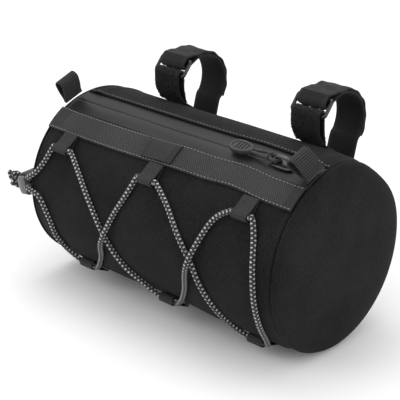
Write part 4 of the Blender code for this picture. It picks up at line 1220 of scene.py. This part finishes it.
# ---------------------------------------------------------------- end tabs
# A loop of coarse ribbed webbing stands at each end of the zip, its two ends sewn into the
# end seam, to hold the bag by while the zip is pulled.
TAB_WIDTH, TAB_WEBBING, TAB_ANGLE, TAB_OPEN, TAB_INSET = 0.0150, 0.0011, 70.0, 0.0052, 0.0005
TAB_FOOT_HEIGHT = 0.0020
TAB_RIB = 0.0014
TAB_CLOTH = webbing_finish("tab_webbing", (0.014, 0.014, 0.014), TAB_RIB)


def tab_ripple(run, across):
    """Real ribs across the webbing."""
    return 0.00016 * np.cos(2 * pi * run / TAB_RIB) * np.ones_like(across)


for label, side, length, lean in (("left", -1, 0.0155, 4.0), ("right", 1, 0.0165, -48.0)):
    place = bag_place(side * (HALF_LENGTH + GAP - TAB_INSET), TAB_ANGLE, TAB_FOOT_HEIGHT)
    place = place @ Matrix.Rotation(radians(side * lean), 4, "Y")
    foot = TAB_WEBBING / 2 + GAP / 2
    half_open = TAB_OPEN / 2 + TAB_WEBBING / 2
    crown_low = length - half_open
    rise = [(foot, 0.0), (foot * 1.3, length * 0.2), (half_open * 0.8, length * 0.5)]
    crown = [(half_open * cos(t), crown_low + half_open * sin(t))
             for t in (radians(30 * i) for i in range(7))]
    route = rise + crown + [(-out, up) for out, up in reversed(rise)]
    path = smooth_path([place @ Vector((out, 0, up)) for out, up in route], 0.0003)
    tab = add_piece(f"{label}_webbing_tab", strap_mesh(f"{label}_webbing_tab", path,
                                                       place.to_3x3() @ Vector((0, 1, 0)), TAB_WIDTH,
                                                               TAB_WEBBING,
                                                       16, ripple=tab_ripple), TAB_CLOTH)
    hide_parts(f"{label}_end_tab")
    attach(tab, f"{label}_tab")

# ---------------------------------------------------------------- cord lock
# A spring cord lock in two nylon mouldings: an oval barrel with a tunnel for both cords and
# a button that slides in it. A steel spring under the button pinches the cords.
LOCK_HEIGHT, LOCK_DEPTH, LOCK_WALL = 0.0160, 0.0145, 0.0013
BUTTON_TRAVEL, BUTTON_BAR, BUTTON_FACE, BUTTON_PLAY = 0.0020, 0.0009, 0.0012, 0.00035
LOCK_NYLON = moulded_finish("lock_nylon", (0.010, 0.010, 0.010), 0.36, 1500, 0.00002,
        Specular_IOR_Level=0.4)
BUTTON_NYLON = moulded_finish("button_nylon", (0.085, 0.085, 0.085), 0.24, 1500, 0.00001, Coat_Weight=0.3)
tunnel_high = STRAND_SPACING + 2 * CORD_RADIUS + 6 * GAP
tunnel_deep = CORD_RADIUS + 3 * GAP
lock_rim = LOCK_DEPTH / 2
lock_outline = rounded_outline(LOCK_LENGTH, LOCK_HEIGHT, 2.8, 64)
barrel_levels = pillow(-lock_rim, lock_rim, 0.0016)[:11]
barrel_levels += [(lock_rim, 0.0009), (lock_rim - 0.0004, LOCK_WALL), (-lock_rim + LOCK_WALL, LOCK_WALL)]


def cut_with(piece, cutter_mesh):
    """Cuts a closed mesh out of a piece."""
    cutter = bpy.data.objects.new("cutter", cutter_mesh)
    bpy.context.scene.collection.objects.link(cutter)
    cut = piece.modifiers.new("cut", "BOOLEAN")
    cut.operation = "DIFFERENCE"
    cut.solver = "EXACT"
    cut.object = cutter
    settle_mesh(piece)
    bpy.data.objects.remove(cutter)
    piece.data.set_sharp_from_angle(angle=radians(40))


def tunnel_mesh(deep_low, deep_high):
    """A rounded bar through the lock along the cords."""
    along_cords = lock @ Matrix.Rotation(pi / 2, 4,
            "Y") @ Matrix.Translation((-(deep_low + deep_high) / 2, 0, 0))
    return loft("tunnel", along_cords, rounded_outline(deep_high - deep_low, tunnel_high, 5.0, 32),
                [(-LOCK_LENGTH, 0), (LOCK_LENGTH, 0)])


barrel = add_piece("lock_barrel", loft("lock_barrel", lock, lock_outline, barrel_levels), LOCK_NYLON)
cut_with(barrel, tunnel_mesh(-tunnel_deep, tunnel_deep))
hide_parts("cord_lock_body")
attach(barrel, "cord_lock")
button_clear = 2 * (LOCK_WALL + BUTTON_PLAY)
button_outline = rounded_outline(LOCK_LENGTH - button_clear, LOCK_HEIGHT - button_clear, 2.8, 64)
button = add_piece("lock_button", loft("lock_button", lock, button_outline, pillow(
    -tunnel_deep - BUTTON_BAR, lock_rim + BUTTON_TRAVEL + BUTTON_FACE - 0.0005, 0.0010, 0.0005)),
            BUTTON_NYLON)
cut_with(button, tunnel_mesh(-tunnel_deep, tunnel_deep + BUTTON_TRAVEL))
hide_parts("cord_lock_button")
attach(button, "lock_button")
SPRING_STEEL = enamel_finish("spring_steel", (0.35, 0.35, 0.36), 0.30, (0.5, 0.5, 0.5))
dress("cord_lock_spring", SPRING_STEEL)

# ---------------------------------------------------------------- handlebar straps
# Two straps of 22 mm hook-and-loop tape. A short folded keeper holds a wire ring; the strap
# goes round the bar, through the ring and back on itself, and the tail is the peeling end.
STRAP_WIDTH, STRAP_THICKNESS = 0.0220, 0.0014
LEFT_STRAP_X, RIGHT_STRAP_X = -0.0580, 0.0600
STRAP_LOOP_RADIUS = 0.0203
RING_WIRE, RING_LENGTH, RING_CLEARANCE = 0.0012, 0.0112, 0.0007
RING_STANDOFF, RING_CORNER = 0.0042, 0.0015
RING_LOW_ANGLE, RING_HIGH_ANGLE = 153.0, 127.0
STRAP_FOOT_ANGLE, FOOT_LIFT, KEEPER_BULGE = 116.0, 0.0006, 0.0035
BASE_END_ANGLE, REAR_START_ANGLE, FOLD_PAST_RING, FOLD_SLACK = 147.0, -45.0, 14.0, 0.0028
FOLD_SAG = 0.0017
TAIL_START_ANGLE, TAIL_END_ANGLE = 98.0, -32.0


def tape_finish(name, colour, pile_depth):
    """Hook-and-loop tape: woven edges and a rough middle."""
    finish = Finish(name, 0.78, Sheen_Weight=0.02, Specular_IOR_Level=0.2)
    tree = finish.tree
    from_middle = maths(tree, "ABSOLUTE", finish.across)
    edge = ramp(tree, from_middle, STRAP_WIDTH / 2 - 0.0030, STRAP_WIDTH / 2 - 0.0022)
    rib, = use_group(tree, RIBS, finish.along, finish.across, 0.0008)
    rough = noise(tree, finish.place, 1500, 4.0, 0.7)
    wrinkle = noise(tree, finish.place, 130, 2.0)
    mottle, = use_group(tree, MOTTLE, finish.place, 0.22)
    pile = maths(tree, "MULTIPLY_ADD", rough, 1.0, maths(tree, "MULTIPLY", wrinkle, 1.2))
    woven = maths(tree, "MULTIPLY_ADD", rib, 0.3, maths(tree, "MULTIPLY", wrinkle, 1.2))
    finish.paint(colour, tuple(c * 1.9 for c in colour), edge, mottle)
    keep = maths(tree, "SUBTRACT", 1.0, edge)
    finish.relief(maths(tree, "ADD", maths(tree, "MULTIPLY", pile, keep),
            maths(tree, "MULTIPLY", woven, edge)),
                  pile_depth)
    return finish.material


TAPE_SMOOTH = tape_finish("strap_tape", (0.0075, 0.0075, 0.0075), 0.00022)
TAPE_PILE = tape_finish("pile_ground", (0.004, 0.004, 0.004), 0.00040)
PILE_LOOPS = moulded_finish("pile_loops", (0.013, 0.013, 0.013), 0.42, 900, 0.00002, 0.7)


def round_bar(x, angle, radius):
    """A place round the handlebar: 0 at the back, 90 on top, 180 at the front."""
    turn = radians(angle)
    return Vector((x, radius * cos(turn), radius * sin(turn)))


def arc_round(centre, radius, start, stop, step=30.0):
    """Points of an arc across X, by angles from +Y towards +Z."""
    count = max(1, round(abs(stop - start) / step))
    return [centre + round_bar(0, start + (stop - start) * i / count, radius) for i in range(count + 1)]


def pile_tree():
    """Tiny loops of thread scattered over a surface, standing on it."""
    tree = bpy.data.node_groups.new("loop_pile", "GeometryNodeTree")
    tree.interface.new_socket("Geometry", in_out="INPUT", socket_type="NodeSocketGeometry")
    for label in ("Density", "Loop Size", "Thread"):
        tree.interface.new_socket(label, in_out="INPUT", socket_type="NodeSocketFloat")
    tree.interface.new_socket("Seed", in_out="INPUT", socket_type="NodeSocketInt")
    tree.interface.new_socket("Material", in_out="INPUT", socket_type="NodeSocketMaterial")
    tree.interface.new_socket("Geometry", in_out="OUTPUT", socket_type="NodeSocketGeometry")
    arriving = tree.nodes.new("NodeGroupInput")
    leaving = tree.nodes.new("NodeGroupOutput")
    scatter = tree.nodes.new("GeometryNodeDistributePointsOnFaces")
    arc = tree.nodes.new("GeometryNodeCurveArc")
    arc.inputs["Resolution"].default_value = 5
    arc.inputs["Start Angle"].default_value = radians(-30)
    arc.inputs["Sweep Angle"].default_value = radians(240)
    upright = tree.nodes.new("GeometryNodeTransform")
    upright.inputs["Rotation"].default_value = (pi / 2, 0, 0)
    round_thread = tree.nodes.new("GeometryNodeCurvePrimitiveCircle")
    round_thread.inputs["Resolution"].default_value = 3
    solid = tree.nodes.new("GeometryNodeCurveToMesh")
    turn_about = tree.nodes.new("FunctionNodeRandomValue")
    turn_about.data_type = "FLOAT_VECTOR"
    turn_about.inputs[0].default_value = (-0.9, -0.9, -pi)
    turn_about.inputs[1].default_value = (0.9, 0.9, pi)
    spin = tree.nodes.new("FunctionNodeEulerToRotation")
    both = tree.nodes.new("FunctionNodeRotateRotation")
    both.rotation_space = "LOCAL"
    grow = tree.nodes.new("FunctionNodeRandomValue")
    grow.inputs[2].default_value = 0.6
    grow.inputs[3].default_value = 1.35
    copies = tree.nodes.new("GeometryNodeInstanceOnPoints")
    real = tree.nodes.new("GeometryNodeRealizeInstances")
    painted = tree.nodes.new("GeometryNodeSetMaterial")
    link = tree.links.new
    link(arriving.outputs["Geometry"], scatter.inputs["Mesh"])
    link(arriving.outputs["Density"], scatter.inputs["Density"])
    link(arriving.outputs["Seed"], scatter.inputs["Seed"])
    link(arriving.outputs["Loop Size"], arc.inputs["Radius"])
    link(arc.outputs["Curve"], upright.inputs["Geometry"])
    link(upright.outputs["Geometry"], solid.inputs["Curve"])
    link(arriving.outputs["Thread"], round_thread.inputs["Radius"])
    link(round_thread.outputs["Curve"], solid.inputs["Profile Curve"])
    link(scatter.outputs["Points"], copies.inputs["Points"])
    link(solid.outputs["Mesh"], copies.inputs["Instance"])
    link(turn_about.outputs[0], spin.inputs[0])
    link(scatter.outputs["Rotation"], both.inputs[0])
    link(spin.outputs[0], both.inputs[1])
    link(both.outputs[0], copies.inputs["Rotation"])
    link(grow.outputs[1], copies.inputs["Scale"])
    link(copies.outputs["Instances"], real.inputs["Geometry"])
    link(real.outputs["Geometry"], painted.inputs["Geometry"])
    link(arriving.outputs["Material"], painted.inputs["Material"])
    link(painted.outputs["Geometry"], leaving.inputs["Geometry"])
    return tree


PILE = pile_tree()


def pile_on(name, path, width, away, seed):
    """Loop pile over one face of a tape that follows a path."""
    path = np.asarray(path)
    tangents = np.gradient(path, axis=0)
    tangents /= np.linalg.norm(tangents, axis=1)[:, None]
    normal = np.cross(tangents, np.array((1.0, 0, 0)))
    middle = path + normal * away
    offsets = np.linspace(-width / 2, width / 2, 6)
    points = middle[:, None] + offsets[None, :, None] * np.array((1.0, 0, 0))
    mesh = grid_mesh(name, points, distance_along(path), offsets)
    if away < 0:
        mesh.flip_normals()
    piece = add_piece(name, mesh, PILE_LOOPS)
    step = piece.modifiers.new("pile", "NODES")
    step.node_group = PILE
    values = {"Density": 3.4e6, "Loop Size": 0.00055, "Thread": 0.00009, "Seed": seed,
            "Material": PILE_LOOPS}
    for item in PILE.interface.items_tree:
        if item.in_out == "INPUT" and item.name in values:
            step[item.identifier] = values[item.name]
    settle_mesh(piece)
    return piece


def build_strap(label, x, seed):
    across = (1.0, 0, 0)
    outwards_across = (-1.0, 0, 0)
    half = STRAP_THICKNESS / 2
    low_bar = round_bar(x, RING_LOW_ANGLE, STRAP_LOOP_RADIUS + RING_STANDOFF)
    ring_lean = (RING_LOW_ANGLE + RING_HIGH_ANGLE) / 2 - 90
    along_ring = round_bar(0, ring_lean, 1.0)
    high_bar = low_bar + along_ring * RING_LENGTH
    wrap = RING_WIRE + RING_CLEARANCE + half

    ring_half = STRAP_WIDTH / 2 + RING_WIRE + RING_CLEARANCE
    ring_route = []
    for cx, centre, first in ((ring_half, high_bar, 0), (-ring_half, high_bar, 90),
                              (-ring_half, low_bar, 180), (ring_half, low_bar, 270)):
        inset_x = -RING_CORNER if cx > 0 else RING_CORNER
        inset = along_ring * (-RING_CORNER if centre is high_bar else RING_CORNER)
        for i in range(7):
            turn = radians(first + 15 * i)
            ring_route.append(centre + inset + Vector((cx + inset_x + RING_CORNER * cos(turn), 0, 0))
                              + along_ring * RING_CORNER * sin(turn))
    ring_points = np.array(ring_route)
    ring_points = np.vstack([ring_points, ring_points[:1]])
    run = distance_along(ring_points)
    even = np.linspace(0, run[-1], 120, endpoint=False)
    ring_path = np.column_stack([np.interp(even, run, column) for column in ring_points.T])
    tangent = np.roll(ring_path, -1, axis=0) - np.roll(ring_path, 1, axis=0)
    tangent /= np.linalg.norm(tangent, axis=1)[:, None]
    flat_normal = np.cross(np.array((1.0, 0, 0)), np.array(along_ring))
    outward = np.cross(tangent, flat_normal)
    turn = np.linspace(0, 2 * pi, 15)
    wire = (ring_path[:, None] + RING_WIRE * (np.cos(turn)[None, :, None] * outward[:, None]
                                              + np.sin(turn)[None, :, None] * flat_normal))
    wire = np.vstack([wire, wire[:1]])[:, :-1]
    mesh = grid_mesh(f"{label}_wire_ring", wire, np.linspace(0, 0.06, len(wire)), turn * RING_WIRE,
            loop=True)
    form = bmesh.new()
    form.from_mesh(mesh)
    bmesh.ops.remove_doubles(form, verts=form.verts, dist=0.00001)
    bmesh.ops.recalc_face_normals(form, faces=form.faces)
    form.to_mesh(mesh)
    form.free()
    mesh.shade_smooth()
    ring = add_piece(f"{label}_wire_ring", mesh, ENAMEL)
    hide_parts(f"{label}_strap_ring")
    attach(ring, "root")

    foot_outer = Vector(on_bag(x, STRAP_FOOT_ANGLE, half + FOOT_LIFT))
    inner_angle = STRAP_FOOT_ANGLE + np.degrees((STRAP_THICKNESS + 2 * GAP) / BAG_RADIUS)
    foot_inner = Vector(on_bag(x, inner_angle, half + FOOT_LIFT))
    lean = RING_LOW_ANGLE - 90
    outer_leg = [foot_outer, foot_outer.lerp(low_bar, 0.45) + Vector((0, -KEEPER_BULGE, 0))]
    keeper_route = outer_leg + arc_round(low_bar, wrap, 188, lean - 40)
    keeper_route += [foot_inner.lerp(low_bar, 0.50) + Vector((0, KEEPER_BULGE * 0.1, 0)), foot_inner]
    keeper_path = smooth_path(keeper_route, 0.0008)
    keeper = add_piece(f"{label}_keeper", strap_mesh(f"{label}_keeper", keeper_path, outwards_across,
            STRAP_WIDTH,
                                                     STRAP_THICKNESS), TAPE_PILE)
    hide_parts(f"{label}_strap_keeper")
    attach(keeper, "root")
    pile = pile_on(f"{label}_keeper_pile", keeper_path, STRAP_WIDTH - 0.0012, -half, seed)
    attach(pile, "root")

    base_start = STRAP_FOOT_ANGLE + np.degrees((2.5 * STRAP_THICKNESS + FOOT_LIFT) / BAG_RADIUS)
    base = [Vector(on_bag(x, base_start + (BASE_END_ANGLE - base_start) * i / 4,
            half + GAP)) for i in range(5)]
    leave = [Vector(on_bag(x, BASE_END_ANGLE + past, half + gaps * GAP)) for past,
            gaps in ((3.2, 2), (4.4, 5), (4.2, 10))]
    centre = Vector((x, 0, 0))
    rear = arc_round(centre, STRAP_LOOP_RADIUS + half, REAR_START_ANGLE, RING_HIGH_ANGLE - 24, step=13.0)
    off_ring = ring_lean + 90
    fold = arc_round(high_bar - along_ring * FOLD_SLACK, wrap, RING_HIGH_ANGLE + 180, off_ring, step=24.0)
    fold += arc_round(high_bar, wrap, off_ring, RING_HIGH_ANGLE - FOLD_PAST_RING, step=24.0)
    band_route = smooth_path(base + leave + rear + fold, 0.0006)
    fold_bottom = distance_along(band_route)[-1] - FOLD_SLACK - 0.0053

    def fold_sag(run, across):
        """The loose fold sags into the ring's slot, least at its two edges."""
        along_fold = np.exp(-((run - fold_bottom) / 0.0028) ** 2)
        lumps = 0.75 + 0.25 * np.sin(across * 900 + 1.0 + x * 40)
        return FOLD_SAG * along_fold * np.clip(1 - (across / STRAP_WIDTH * 2.1) ** 4, 0, 1) * lumps

    strap = add_piece(f"{label}_bar_strap", strap_mesh(f"{label}_bar_strap", band_route,
            outwards_across, STRAP_WIDTH,
                                                       STRAP_THICKNESS, 22, ripple=fold_sag), TAPE_SMOOTH)
    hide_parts(f"{label}_strap_band")
    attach(strap, "root")

    past_ring = RING_HIGH_ANGLE - FOLD_PAST_RING
    backward = round_bar(0, past_ring - 90, 1.0)
    start = fold[-1] + backward * GAP
    lying = arc_round(centre, STRAP_LOOP_RADIUS + STRAP_THICKNESS + 2 * GAP + half, TAIL_START_ANGLE,
                      TAIL_END_ANGLE, step=13.0)
    tail_path = smooth_path([start, start + backward * half] + lying, 0.0008)

    def tail_wrinkles(run, across):
        """Broad soft wrinkles, gone at the hinge and the tip."""
        waves = np.sin(run * 620 + across * 260 + x * 30) + 0.7 * np.sin(run * 340 - across * 300)
        return 0.00028 * (waves + 1.4) * ramp_between(run, 0.003, 0.010)

    tail = add_piece(f"{label}_peeling_tail", strap_mesh(f"{label}_peeling_tail", tail_path, across,
            STRAP_WIDTH,
                                                         STRAP_THICKNESS, 22, ripple=tail_wrinkles),
                                                                 TAPE_SMOOTH)
    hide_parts(f"{label}_strap_tail")
    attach(tail, f"{label}_tail")


for label, x, seed in (("left", LEFT_STRAP_X, 3), ("right", RIGHT_STRAP_X, 8)):
    build_strap(label, x, seed)
